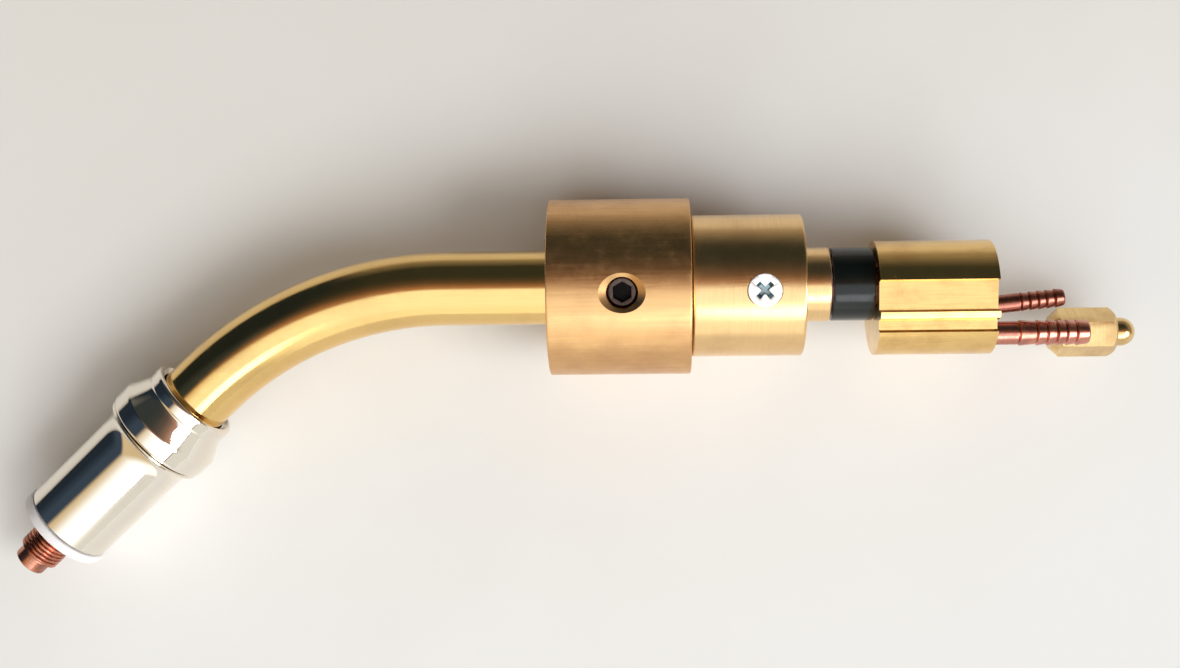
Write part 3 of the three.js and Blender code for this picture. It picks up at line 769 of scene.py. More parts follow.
@dataclass
class Bench:
    """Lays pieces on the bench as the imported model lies, and gives each its finish."""

    roll: float = 0.16419898514
    origin: Point = (-3.6182992, 22.4893585, 19.9994933)
    palette: Palette = field(default_factory=Palette)
    made: dict[tuple, bpy.types.Material] = field(default_factory=dict)

    def torch(self) -> Matrix:
        """Gives the torch's own frame in the row's frame."""
        return shift(*self.origin) @ Matrix.Rotation(self.roll, 4, "X")

    def finish(self, name: str, frame_of_piece: Matrix) -> bpy.types.Material:
        """Gives a finish of the palette for pieces that are turned alike, made once.

        Args:
            name: The finish.
            frame_of_piece: The piece's frame in the row's frame.

        Returns:
            The material.
        """
        turn = frame_of_piece.to_euler()
        key = (name, *(round(angle, 3) for angle in turn))
        if key not in self.made:
            count = sum(made[0] == name for made in self.made)
            self.made[key] = getattr(self.palette, name).material(turn, f"{name}_{count}")
        return self.made[key]

    def lay(
        self, piece: Shape, name: str, where: Matrix, body: Body, slot: Slot, *finishes: str
    ) -> None:
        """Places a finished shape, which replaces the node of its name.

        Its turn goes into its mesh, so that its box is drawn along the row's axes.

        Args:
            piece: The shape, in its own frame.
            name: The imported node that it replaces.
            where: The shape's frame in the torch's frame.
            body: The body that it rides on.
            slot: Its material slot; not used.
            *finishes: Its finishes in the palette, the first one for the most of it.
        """
        piece.name = f"{name}_dressed"
        piece.data.name = piece.name
        placed = self.torch() @ where
        piece.data.transform(placed.to_3x3().to_4x4())
        piece.matrix_world = Matrix.Translation(placed.translation)
        piece.data.shade_smooth()
        piece.data.set_sharp_from_angle(angle=math.radians(SMOOTH_DEG))
        step = piece.modifiers.new("normals", "WEIGHTED_NORMAL")
        step.keep_sharp = True
        settle(piece)
        parts = [face.material_index for face in piece.data.polygons]
        piece.data.materials.clear()
        for finish in finishes:
            piece.data.materials.append(self.finish(finish, placed))
        for face, part in zip(piece.data.polygons, parts):
            face.material_index = min(part, len(finishes) - 1)
        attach(piece, body.value)
        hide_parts(name)
        LOG.info("%s: %d faces", piece.name, len(piece.data.polygons))

    def dress(self, name: str, finish: str) -> None:
        """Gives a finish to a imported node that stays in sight.

        Args:
            name: The node.
            finish: The finish in the palette.
        """
        node = frame["nodes"][name]
        for place in node.material_slots:
            place.material = self.finish(finish, self.torch())
        LOG.info("%s: carried over", name)


# A piece with what Bench.lay is told of it.
Laid = tuple[Shape, str, Matrix, Body, Slot, *tuple[str, ...]]


class Assembly:
    """A sub-assembly of the torch."""

    def pieces(self) -> list[Laid]:
        """Makes the pieces."""
        raise NotImplementedError

    def dressed(self) -> dict[str, str]:
        """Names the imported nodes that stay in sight, each with its finish."""
        return {}

    def build(self, bench: Bench) -> None:
        """Lays the pieces on the bench and dresses the nodes that stay.

        Args:
            bench: Where the pieces are laid.
        """
        for piece in self.pieces():
            bench.lay(*piece)
        for name, finish in self.dressed().items():
            bench.dress(name, finish)


# Neck and nozzle end


@dataclass
class Neck(Assembly):
    """The bent jacket, with the tubes inside it."""

    outer: float = 8.45
    wall: float = 1.3
    rear: float = 19.0
    straight: float = 24.1
    bend_radius: float = 82.0
    bend_deg: float = 43.0
    front: float = 20.4
    rear_steps: int = 8
    bend_steps: int = 64
    front_steps: int = 4

    def point(self, station: float) -> tuple[Vector, Vector]:
        """Gives the centre line at a distance before, in or beyond the bend.

        Args:
            station: Arc length from the bend's start, negative towards the sleeve.

        Returns:
            The point and the direction towards the nozzle, in millimetres.
        """
        bend = math.radians(self.bend_deg)
        angle = min(max(station / self.bend_radius, 0.0), bend)
        heading = Vector((-math.cos(angle), -math.sin(angle), 0))
        place = Vector((
            -self.straight - self.bend_radius * math.sin(angle),
            -self.bend_radius * (1 - math.cos(angle)),
            0,
        ))
        beyond = min(station, 0.0) + max(station - bend * self.bend_radius, 0.0)
        return place + heading * beyond, heading

    def nozzle_frame(self) -> Matrix:
        """Gives the frame whose X axis leaves the bend towards the nozzle.

        Returns:
            The frame, in the torch's.
        """
        place, heading = self.point(math.radians(self.bend_deg) * self.bend_radius)
        turn = Matrix.Rotation(math.atan2(heading.y, heading.x), 4, "Z")
        return shift(*place) @ turn

    def jacket(self) -> Shape:
        """Sweeps the jacket's section along the centre line.

        Returns:
            The closed tube.
        """
        bend = math.radians(self.bend_deg) * self.bend_radius
        rear, front = self.rear_steps, self.front_steps
        stations = spaced(-(self.rear + self.straight), 0, rear)[:-1]
        stations += spaced(0, bend, self.bend_steps)
        stations += [bend + self.front * i / front for i in range(1, front + 1)]
        shape = bmesh.new()
        skins: list[list[list]] = []
        for radius in (self.outer, self.outer - self.wall):
            rings = []
            for station in stations:
                place, heading = self.point(station)
                across = Vector((-heading.y, heading.x, 0))
                ring = []
                for turn in spaced(0, math.tau, RING_SIDES)[:-1]:
                    offset = across * math.cos(turn) + Vector((0, 0, math.sin(turn)))
                    ring.append(shape.verts.new((place + offset * radius) * MM))
                rings.append(ring)
            skins.append(rings)
        for rings in skins:
            skin(shape, rings)
        for end in (0, -1):
            bridge(shape, skins[0][end], skins[1][end])
        return to_object(shape)

    def pieces(self) -> list[Laid]:
        """Makes the jacket."""
        brass = Slot.POLISHED_BRASS
        return [(self.jacket(), "neck_jacket", Matrix(), Body.NECK, brass, "neck_brass")]

    def dressed(self) -> dict[str, str]:
        """Names the tubes inside the jacket."""
        tubes = {"water_jacket": "copper", "conductor_tube": "copper"}
        return {"neck_insulation": "white_plastic", **tubes}


@dataclass
class NozzleEnd(Assembly):
    """The chromed seat that the gas nozzle pushes on to, and the stub for the tip holder.

    Stations run along the nozzle's axis from the end of the bend.
    """

    neck: Neck
    collar_start: float = 4.0
    lip: float = 10.9
    lip_end: float = 7.2
    cone_end: float = 12.6
    band: float = 13.15
    collar_end: float = 17.0
    seat_start: float = 17.3
    flange: float = 12.7
    flare: float = 4.8
    flare_steps: int = 10
    seat: float = 10.95
    seat_end: float = 46.6
    edge: float = 0.5
    seat_thread: float = 10.0
    seat_thread_start: float = 13.4
    seal: float = 1.0
    insulator: float = 8.4
    shoulder: float = 6.5
    rim: float = 11.05
    rim_start: float = 46.9
    rim_end: float = 49.1
    stub_rear: float = 26.2
    stub_shoulder_end: float = 35.2
    stub: float = 5.0
    stub_thread_end: float = 57.5
    stub_thread_depth: float = 0.6
    stub_pitch: float = 1.0
    stub_end: float = 60.6
    nose: float = 3.9
    wire_bore: float = 3.2
    conductor_socket: float = 5.05
    conductor_front: float = 32.2
    chamfer: float = 0.4
    fine_round: float = 0.2
    collar_round: float = 0.3
    soft_round: float = 0.45

    def collar(self) -> Shape:
        """Turns the collar: rounded lip with a groove round the tube, cone and band.

        Returns:
            The collar.
        """
        bore = self.neck.outer + FIT
        thread = self.seat_thread + FIT
        thread_start = self.seat_thread_start - FIT
        pocket = thread + self.seal + 2 * FIT
        start, lip, band, end = self.collar_start, self.lip, self.band, self.collar_end
        return lathe([
            (start + 1.0, bore), (start + 0.9, bore + 0.25), (start, lip - 1.0),
            (start + 0.25, lip - 0.25), (start + 0.9, lip), (self.lip_end - 0.2, lip),
            (self.lip_end + 0.2, lip - 0.15), (self.lip_end + 1.4, lip + 0.25),
            (self.cone_end - 1.6, band - 0.85), (self.cone_end, band), (end - 0.5, band),
            (end, band - 0.5), (end, pocket), (end - self.seal, pocket), (end - self.seal, thread),
            (thread_start, thread), (thread_start, bore),
        ], self.collar_round, steps=4)

    def seal_ring(self) -> Shape:
        """Makes the dark ring in the seam between collar and seat.

        Returns:
            The ring.
        """
        half = self.seal / 2
        middle = self.seat_thread + 2 * FIT + half
        return turned(arc(half, spaced(0, math.tau, 16)[:-1], self.collar_end - half + FIT, middle))

    def nozzle_seat(self) -> Shape:
        """Turns the seat: flange, hollow flare and long polished cylinder.

        Returns:
            The seat.
        """
        outer, flange, start = self.seat, self.flange, self.seat_start
        thread_start = self.seat_thread_start
        flare = []
        for i in range(self.flare_steps + 1):
            turn = i / self.flare_steps * math.pi / 2
            station = start + self.flare - (self.flare - self.edge) * math.cos(turn)
            flare.append((station, flange - (flange - outer) * math.sin(turn)))
        front_bore = self.insulator + FIT
        bore = self.neck.outer + FIT
        step = self.neck.front + FIT
        head = softened([
            (thread_start, bore), (thread_start, self.seat_thread), (start, self.seat_thread),
            (start, flange - self.edge), (flare[0][0], flange),
        ], self.fine_round)
        tail = softened([
            (self.seat_end - self.chamfer, outer), (self.seat_end, outer - self.chamfer),
            (self.seat_end, front_bore), (step, front_bore), (step, bore),
        ], self.fine_round)
        inside = slice(CORNER_POINTS, -CORNER_POINTS)
        return turned([(thread_start, bore), *head[inside], *flare, *tail[inside], (step, bore)])

    def front_insulator(self) -> Shape:
        """Turns the white insulator with its rim in front of the seat.

        Returns:
            The insulator.
        """
        return lathe(stepped(
            (self.stub_rear, self.insulator), (self.rim_start, self.rim),
            (self.rim_end, self.stub + FIT), (self.stub_shoulder_end + FIT, self.shoulder + FIT),
        ), self.soft_round, steps=4)

    def threaded_stub(self) -> Shape:
        """Turns the copper stub with its fine thread and plain nose.

        Returns:
            The stub.
        """
        thread = Thread(self.rim_end - 1.5, self.stub_thread_end - 0.3, self.stub,
                        self.stub_pitch, self.stub_thread_depth)
        nose, end = self.nose, self.stub_end
        bore_end = self.conductor_front + FIT
        rear = softened([
            (self.stub_rear, self.conductor_socket), (self.stub_rear, self.shoulder),
            (self.stub_shoulder_end, self.shoulder), (self.stub_shoulder_end, self.stub),
        ], self.fine_round)
        front = softened([
            (self.stub_thread_end, nose), (end, nose), (end, self.wire_bore),
            (bore_end, self.wire_bore), (bore_end, self.conductor_socket),
        ], self.soft_round, steps=4)
        return turned(rear + thread.stations() + front, RING_SIDES, thread)

    def pieces(self) -> list[Laid]:
        """Makes the five pieces on the nozzle's axis.

        Returns:
            The pieces, from the collar to the stub.
        """
        where, neck, white = self.neck.nozzle_frame(), Body.NECK, Slot.WHITE_PLASTIC
        return [
            (self.collar(), "seat_collar", where, neck, Slot.CHROME, "chrome"),
            (self.seal_ring(), "seat_o_ring", where, neck, Slot.BLACK_RUBBER, "black_rubber"),
            (self.nozzle_seat(), "nozzle_seat", where, neck, Slot.CHROME, "chrome"),
            (self.front_insulator(), "front_insulator", where, neck, white, "white_plastic"),
            (self.threaded_stub(), "threaded_stub", where, neck, Slot.COPPER, "stub_copper"),
        ]


# Sleeves on the body axis


def screw_axis(station: float) -> Matrix:
    """Gives the frame whose X axis is that of a screw standing up at a station."""
    return shift(station) @ Matrix.Rotation(-math.pi / 2, 4, "Y")


@dataclass
class ClampingSleeve(Assembly):
    """The mounting sleeve with its set screw, pressure pad and retaining ring."""

    outer: float = 20.0
    length: float = 31.8
    edge: float = 0.35
    bore: float = 12.3
    pocket: float = 14.9
    pocket_depth: float = 2.9
    screw_station: float = 16.6
    screw_radius: float = 3.45
    screw_bottom: float = 12.2
    screw_top: float = 16.2
    screw_depth: float = 0.35
    cup: float = 1.7
    cup_depth: float = 0.6
    cup_rim: float = 2.9
    pitch: float = 1.25
    key: float = 4.0
    key_depth: float = 2.4
    mouth: float = 5.15
    mouth_depth: float = 1.05
    tapped: float = 3.5
    tapped_depth: float = 0.55
    ring_inner: float = 11.4
    ring_width: float = 1.5
    ring_start: float = 1.5
    ring_end: float = 2.6
    ring_mouth_deg: float = 34.0
    ring_steps: int = 96
    ear: float = 1.5
    ear_hole: float = 0.7
    ring_edge: float = 0.1
    screw_edge: float = 0.12

    def sleeve(self) -> Shape:
        """Turns the sleeve and taps its countersunk hole.

        Returns:
            The sleeve, with the hole marked for its second finish: painted shade.
        """
        top, tapped = self.outer, self.tapped
        body = lathe(stepped(
            (0, self.outer), (self.length, self.bore), (self.pocket_depth, self.pocket),
        ), self.edge)
        thread = Thread(self.bore - OVERCUT, top - 1.2, tapped, self.pitch, -self.tapped_depth)
        tap = turned([
            (self.bore - 2 * OVERCUT, 0), (self.bore - 2 * OVERCUT, tapped), *thread.stations(),
            (top - self.mouth_depth + 0.01, tapped), (top, self.mouth),
            (top + OVERCUT, self.mouth + OVERCUT), (top + OVERCUT, 0),
        ], HOLE_SIDES, thread)
        axis = screw_axis(self.screw_station)
        worked(body, "DIFFERENCE", moved(tap, axis))
        # The faces in the hole take a darker brass: painted shade in the hole.
        return marked(body, axis, tapped + 0.35, top - 1.4)

    def set_screw(self) -> Shape:
        """Turns the set screw, threads it and sinks its hexagon socket.

        Returns:
            The screw, with the socket marked for its second finish: painted shade.
        """
        top, bottom, radius = self.screw_top, self.screw_bottom, self.screw_radius
        thread = Thread(bottom + 0.5, top - 0.4, radius, self.pitch, self.screw_depth)
        body = turned([
            (bottom + self.cup_depth, 0), (bottom, self.cup), (bottom, self.cup_rim),
            (bottom + 0.45, radius - 0.15), *thread.stations(), (top - 0.35, radius - 0.05),
            (top, radius - 0.5), (top, 0),
        ], HOLE_SIDES, thread)
        worked(body, "DIFFERENCE", prism(hexagon(self.key), top - self.key_depth, top + OVERCUT))
        broken_edges(body, self.screw_edge, angle_deg=50)
        # The socket's faces take near-black steel: painted shade in the socket.
        return marked(body, Matrix(), self.key / math.sqrt(3), top - 0.15)

    def retaining_ring(self) -> Shape:
        """Stamps the retaining ring with its two eared ends.

        Returns:
            The ring.
        """
        half = math.radians(self.ring_mouth_deg) / 2
        inner, start, end = self.ring_inner, self.ring_start, self.ring_end
        steps = self.ring_steps
        turns = [half + (math.tau - 2 * half) * i / steps for i in range(steps + 1)]
        outline = arc(inner + self.ring_width, turns) + arc(inner, turns[::-1])
        ring = prism(outline, start, end)
        middle = inner + self.ring_width / 2
        for side in (-1, 1):
            turn = side * (half + self.ear / middle / 2)
            at = shift(0, *arc(inner + self.ear, [turn])[0])
            worked(ring, "UNION", moved(rod(start, end, self.ear, sides=40), at))
            hole = rod(start - OVERCUT, end + OVERCUT, self.ear_hole, sides=32)
            worked(ring, "DIFFERENCE", moved(hole, at))
        return broken_edges(ring, self.ring_edge, angle_deg=40)

    def pieces(self) -> list[Laid]:
        """Makes the sleeve and what clamps and keeps it.

        Returns:
            The sleeve, the set screw and the retaining ring.
        """
        here, axis, steel = Matrix(), screw_axis(self.screw_station), Slot.BLACK_STEEL
        return [
            (self.sleeve(), "mounting_sleeve", here, Body.MOUNTING_SLEEVE, Slot.TURNED_BRASS,
             "sleeve_brass", "hole_brass"),
            (self.set_screw(), "set_screw", axis, Body.SET_SCREW, steel,
             "black_steel", "socket_black"),
            (self.retaining_ring(), "sleeve_circlip", here, Body.NECK, steel, "black_steel"),
        ]

    def dressed(self) -> dict[str, str]:
        """Names the pressure pad."""
        return {"clamp_pad": "rear_brass"}


@dataclass
class RearBody(Assembly):
    """The core body with the rear sleeve, its screw and the insulating ring."""

    start: float = 32.1
    end: float = 57.0
    outer: float = 16.1
    inner: float = 13.5
    end_wall: float = 2.6
    spigot: float = 8.45
    spigot_end: float = 63.1
    core: float = 12.0
    core_bore: float = 7.15
    core_socket: float = 8.75
    core_socket_end: float = 19.3
    waist: float = 9.5
    flange_end: float = 36.3
    land_start: float = 45.5
    land_end: float = 54.1
    pad_groove: tuple[float, float, float] = (12.9, 20.3, 10.2)
    ring_groove: tuple[float, float, float] = (1.2, 2.9, 11.1)
    screw_station: float = 47.7
    screw_head: float = 3.75
    screw_shank: float = 1.625
    screw_length: float = 6.6
    screw_sink: float = 0.1
    screw_pitch: float = 0.7
    screw_depth: float = 0.3
    recess_length: float = 4.4
    recess_arm: float = 1.1
    recess_depth: float = 1.3
    ring: float = 8.3
    ring_bore: float = 6.05
    ring_start: float = 63.7
    ring_end: float = 73.0
    screw_edge: float = 0.07
    core_round: float = 0.2
    ring_round: float = 0.3
    sleeve_round: float = 0.5

    def core_body(self) -> Shape:
        """Turns the core body and drills it for the rear screw.

        Returns:
            The core body.
        """
        pad_start, pad_end, pad_floor = self.pad_groove
        ring_start, ring_end, ring_floor = self.ring_groove
        flange = self.inner - FIT
        body = lathe(stepped(
            (FIT, self.core), (ring_start, ring_floor), (ring_end, self.core),
            (pad_start, pad_floor), (pad_end, self.core), (self.start, flange),
            (self.flange_end, self.waist), (self.land_start, flange), (self.land_end, self.spigot),
            (self.spigot_end, self.core_bore), (self.core_socket_end, self.core_socket),
        ), self.core_round)
        floor = self.outer - self.screw_sink - self.screw_length - 2 * FIT
        drill = rod(floor, self.outer, self.screw_shank + FIT)
        return worked(body, "DIFFERENCE", moved(drill, screw_axis(self.screw_station)))

    def sleeve(self) -> Shape:
        """Turns the rear sleeve and countersinks it.

        Returns:
            The sleeve.
        """
        body = lathe(stepped(
            (self.start, self.outer), (self.end, self.spigot + FIT),
            (self.end - self.end_wall, self.inner),
        ), self.sleeve_round, steps=4)
        top = self.outer - self.screw_sink
        mouth, shank = self.screw_head + 0.22, self.screw_shank + FIT
        tool = turned([
            (self.core, 0), (self.core, shank), (top - (mouth - shank), shank), (top, mouth),
            (top + OVERCUT, mouth), (top + OVERCUT, 0),
        ], HOLE_SIDES)
        return worked(body, "DIFFERENCE", moved(tool, screw_axis(self.screw_station)))

    def recess_wing(self, turn: float) -> Shape:
        """Makes one bar of the cross recess, narrower at its floor.

        Args:
            turn: Angle of the bar about the screw's axis, in radians.

        Returns:
            The cutting bar.
        """
        top = self.outer - self.screw_sink
        half, arm = self.recess_length / 2, self.recess_arm / 2
        sections = []
        for station, length, width in (
            (top + 0.5, 1.0, 1.0), (top - 0.3, 0.98, 0.98), (top - self.recess_depth, 0.62, 0.72),
        ):
            y, z = half * length, arm * width
            sections.append((station, [(-y, -z), (y, -z), (y, z), (-y, z)]))
        return moved(loft(*sections), Matrix.Rotation(turn, 4, "X"))

    def screw(self) -> Shape:
        """Turns the countersunk screw, threads its shank and sinks the cross recess.

        Returns:
            The screw, with the recess marked for its second finish: painted shade.
        """
        top, head, shank = self.outer - self.screw_sink, self.screw_head, self.screw_shank
        tip = top - self.screw_length
        cone = top - (head - shank)
        thread = Thread(tip + 0.4, cone - 0.3, shank + 0.15, self.screw_pitch, self.screw_depth)
        body = turned([
            (tip, 0), (tip, shank - 0.4), *thread.stations(), (cone, shank),
            (top - 0.25, head - 0.25), (top - 0.12, head - 0.02), (top - 0.04, head - 0.06),
            (top, head - 0.25), (top, 0),
        ], HOLE_SIDES, thread)
        bars = [self.recess_wing(math.radians(turn)) for turn in (45, 135)]
        worked(body, "DIFFERENCE", *bars)
        broken_edges(body, self.screw_edge, angle_deg=45)
        # The recess's faces take a dark blue-grey zinc: painted shade in the recess.
        return marked(body, Matrix(), self.recess_length / 2 + 0.1, top - 0.05)

    def insulating_ring(self) -> Shape:
        """Turns the black ring between the spigot and the connector block."""
        section = stepped((self.ring_start, self.ring), (self.ring_end, self.ring_bore))
        return lathe(section, self.ring_round)

    def pieces(self) -> list[Laid]:
        """Makes the pieces behind the mounting sleeve.

        Returns:
            The core body, the rear sleeve, its screw and the insulating ring.
        """
        here, neck, brass, black = Matrix(), Body.NECK, Slot.TURNED_BRASS, Slot.BLACK_PLASTIC
        axis = screw_axis(self.screw_station)
        return [
            (self.core_body(), "core_body", here, neck, brass, "rear_brass"),
            (self.sleeve(), "rear_sleeve", here, neck, brass, "rear_brass"),
            (self.screw(), "rear_sleeve_screw", axis, neck, Slot.ZINC_STEEL, "zinc", "zinc_recess"),
            (self.insulating_ring(), "insulating_ring", here, neck, black, "black_plastic"),
        ]

    def dressed(self) -> dict[str, str]:
        """Names the bush in the core body."""
        return {"core_insulator": "white_plastic"}


# Connector block and its connections


@dataclass(frozen=True)
class SlotCut:
    """A slot milled along the block: Y of its two edges at the surface and on its floor."""

    edges: tuple[float, float]
    floor: tuple[float, float]
    floor_height: float

    def corners(self, radius: float) -> Profile:
        """Gives the slot's corners in the block's section.

        Args:
            radius: Radius of the block.

        Returns:
            The corners from the +Y side to the -Y side, as the outline meets them.
        """
        rise = math.sqrt(radius**2 - (sum(self.edges) / 2) ** 2) - self.floor_height
        found = []
        for side, edge, y in zip((1, -1), self.edges, self.floor):
            z = self.floor_height
            slope = (edge - y) / rise
            low, high = 0.0, 2 * rise
            for _ in range(HALVINGS):
                mid = (low + high) / 2
                inside = math.hypot(y + slope * mid, z + mid) < radius
                low, high = (mid, high) if inside else (low, mid)
            wall = [(y + slope * low, z + low), (y, z)]
            found += wall if side == 1 else wall[::-1]
        return found


@dataclass(frozen=True)
class Barb:
    """A hose barb on the block's rear face; y and z are from the block's axis."""

    node: str
    y: float
    z: float
    splay_deg: float
    crest: float
    bore: float
    plain: float
    ends: tuple[float, ...]
    stem: float
    finish: str
    sink: float = 5.5
    groove: float = 0.4
    rib_round: float = 0.1

    def shape(self) -> Shape:
        """Turns the barb: a plain stem and ribs parted by narrow grooves.

        Returns:
            The barb.
        """
        stem = self.crest - self.groove
        corners = [(-self.sink, self.bore), (-self.sink, self.stem), (self.plain - 0.35, self.stem)]
        start = self.plain
        for end in self.ends:
            corners += [(start - 0.2, stem - 0.12), (start + 0.12, self.crest)]
            corners.append((end - 0.35, stem + 0.1))
            start = end
        corners += [(start, stem - 0.1), (start, self.bore)]
        return lathe(corners, self.rib_round, steps=2, sides=SMALL_SIDES)

    def frame(self, block_length: float) -> Matrix:
        """Gives the barb's frame in the block's."""
        splay = Matrix.Rotation(math.radians(self.splay_deg), 4, "Z")
        return shift(block_length, self.y, self.z) @ splay


@dataclass
class ConnectorBlock(Assembly):
    """The slotted brass block with its two hose barbs, drawn on the block's own axis."""

    start: float = 73.3
    length: float = 26.1
    radius: float = 12.95
    offset: float = 3.25
    edge: float = 0.3
    facet_deg: float = 2.8
    slots: tuple[SlotCut, ...] = (
        SlotCut((5.15, -2.15), (4.35, -1.95), 10.0), SlotCut((-3.8, -7.0), (-4.5, -6.45), 9.4),
    )
    wire_bore: float = 3.2
    wire_mouth: float = 1.2
    jacket_socket: tuple[float, float] = (5.2, 6.05)
    jacket_groove: tuple[float, float, float] = (1.0, 0.7, 2.3)
    conductor_socket: tuple[float, float] = (12.4, 5.05)
    conductor_groove: tuple[float, float] = (9.1, 10.7)
    groove_depth: float = 1.3
    pipe_port: tuple[float, float, float] = (-8.8, -4.9, 2.15)
    port_depth: float = 5.8
    solder: float = 0.1
    barbs: tuple[Barb, ...] = (
        Barb("water_barb", -7.9, 4.0, splay_deg=0.0, crest=2.9, bore=1.7, plain=5.9,
             ends=(9.8, 12.1, 14.3, 16.4, 18.6, 21.4), stem=2.65, finish="copper"),
        # The gas barb's darker copper is painted shade.
        Barb("gas_barb", -1.55, 4.0, splay_deg=5.7, crest=2.15, bore=1.2, plain=6.3,
             ends=(8.2, 10.1, 11.9, 13.8, 15.9), stem=2.05, finish="dull_copper"),
    )

    def frame(self) -> Matrix:
        """Gives the block's frame in the torch's."""
        return shift(self.start, -self.offset, 0)

    def outline(self) -> Profile:
        """Draws the block's section: a circle with the slots let in.

        Returns:
            The corners in order.
        """
        cuts = [cut.corners(self.radius) for cut in self.slots]
        spans = [(math.atan2(c[0][1], c[0][0]), math.atan2(c[-1][1], c[-1][0]), c) for c in cuts]
        points: Profile = []
        for i, (_, leave, corners) in enumerate(spans):
            resume = spans[(i + 1) % len(spans)][0]
            goal = resume if resume > leave else resume + math.tau
            steps = max(2, round((goal - leave) / math.radians(self.facet_deg)))
            points += corners + arc(self.radius, spaced(leave, goal, steps)[1:-1])
        return points

    def bores(self) -> list[Shape]:
        """Makes the drills for the block: the stepped main bore and the three ports.

        Returns:
            The drills, in the block's frame.
        """
        bore, depth, rear = self.wire_bore, self.groove_depth, self.length
        mouth = bore + self.wire_mouth
        jacket_end, jacket = self.jacket_socket
        lip, start, end = self.jacket_groove
        socket_end, socket = self.conductor_socket
        seal_start, seal_end = self.conductor_groove
        main = turned([
            (-OVERCUT, 0), (-OVERCUT, jacket), (lip, jacket), (start, jacket + depth),
            (end, jacket + depth), (end, jacket), (jacket_end, jacket), (jacket_end, socket),
            (seal_start, socket), (seal_start, socket + depth), (seal_end, socket + depth),
            (seal_end, socket), (socket_end, socket), (socket_end, bore),
            (rear - self.wire_mouth, bore), (rear + OVERCUT, mouth + OVERCUT), (rear + OVERCUT, 0),
        ], HOLE_SIDES)
        y, z, radius = self.pipe_port
        ports = [(barb.stem + self.solder, barb.frame(rear)) for barb in self.barbs]
        ports.append((radius, shift(rear, y, z)))
        drills = [moved(rod(-self.port_depth, 2 * OVERCUT, width), at) for width, at in ports]
        return [moved(main, shift(0, self.offset)), *drills]

    def block(self) -> Shape:
        """Mills and bores the block."""
        body = worked(prism(self.outline(), 0, self.length), "DIFFERENCE", *self.bores())
        return broken_edges(body, self.edge)

    def pieces(self) -> list[Laid]:
        """Makes the block and its barbs.

        Returns:
            The block, then the barbs.
        """
        here, neck = self.frame(), Body.NECK
        made = [(self.block(), "connector_block", here, neck, Slot.BLOCK_BRASS, "block_brass")]
        for barb in self.barbs:
            where = here @ barb.frame(self.length)
            made.append((barb.shape(), barb.node, where, neck, Slot.COPPER, barb.finish))
        return made

    def dressed(self) -> dict[str, str]:
        """Names the seals in the block."""
        return {"jacket_o_ring": "black_rubber", "conductor_o_ring": "black_rubber"}


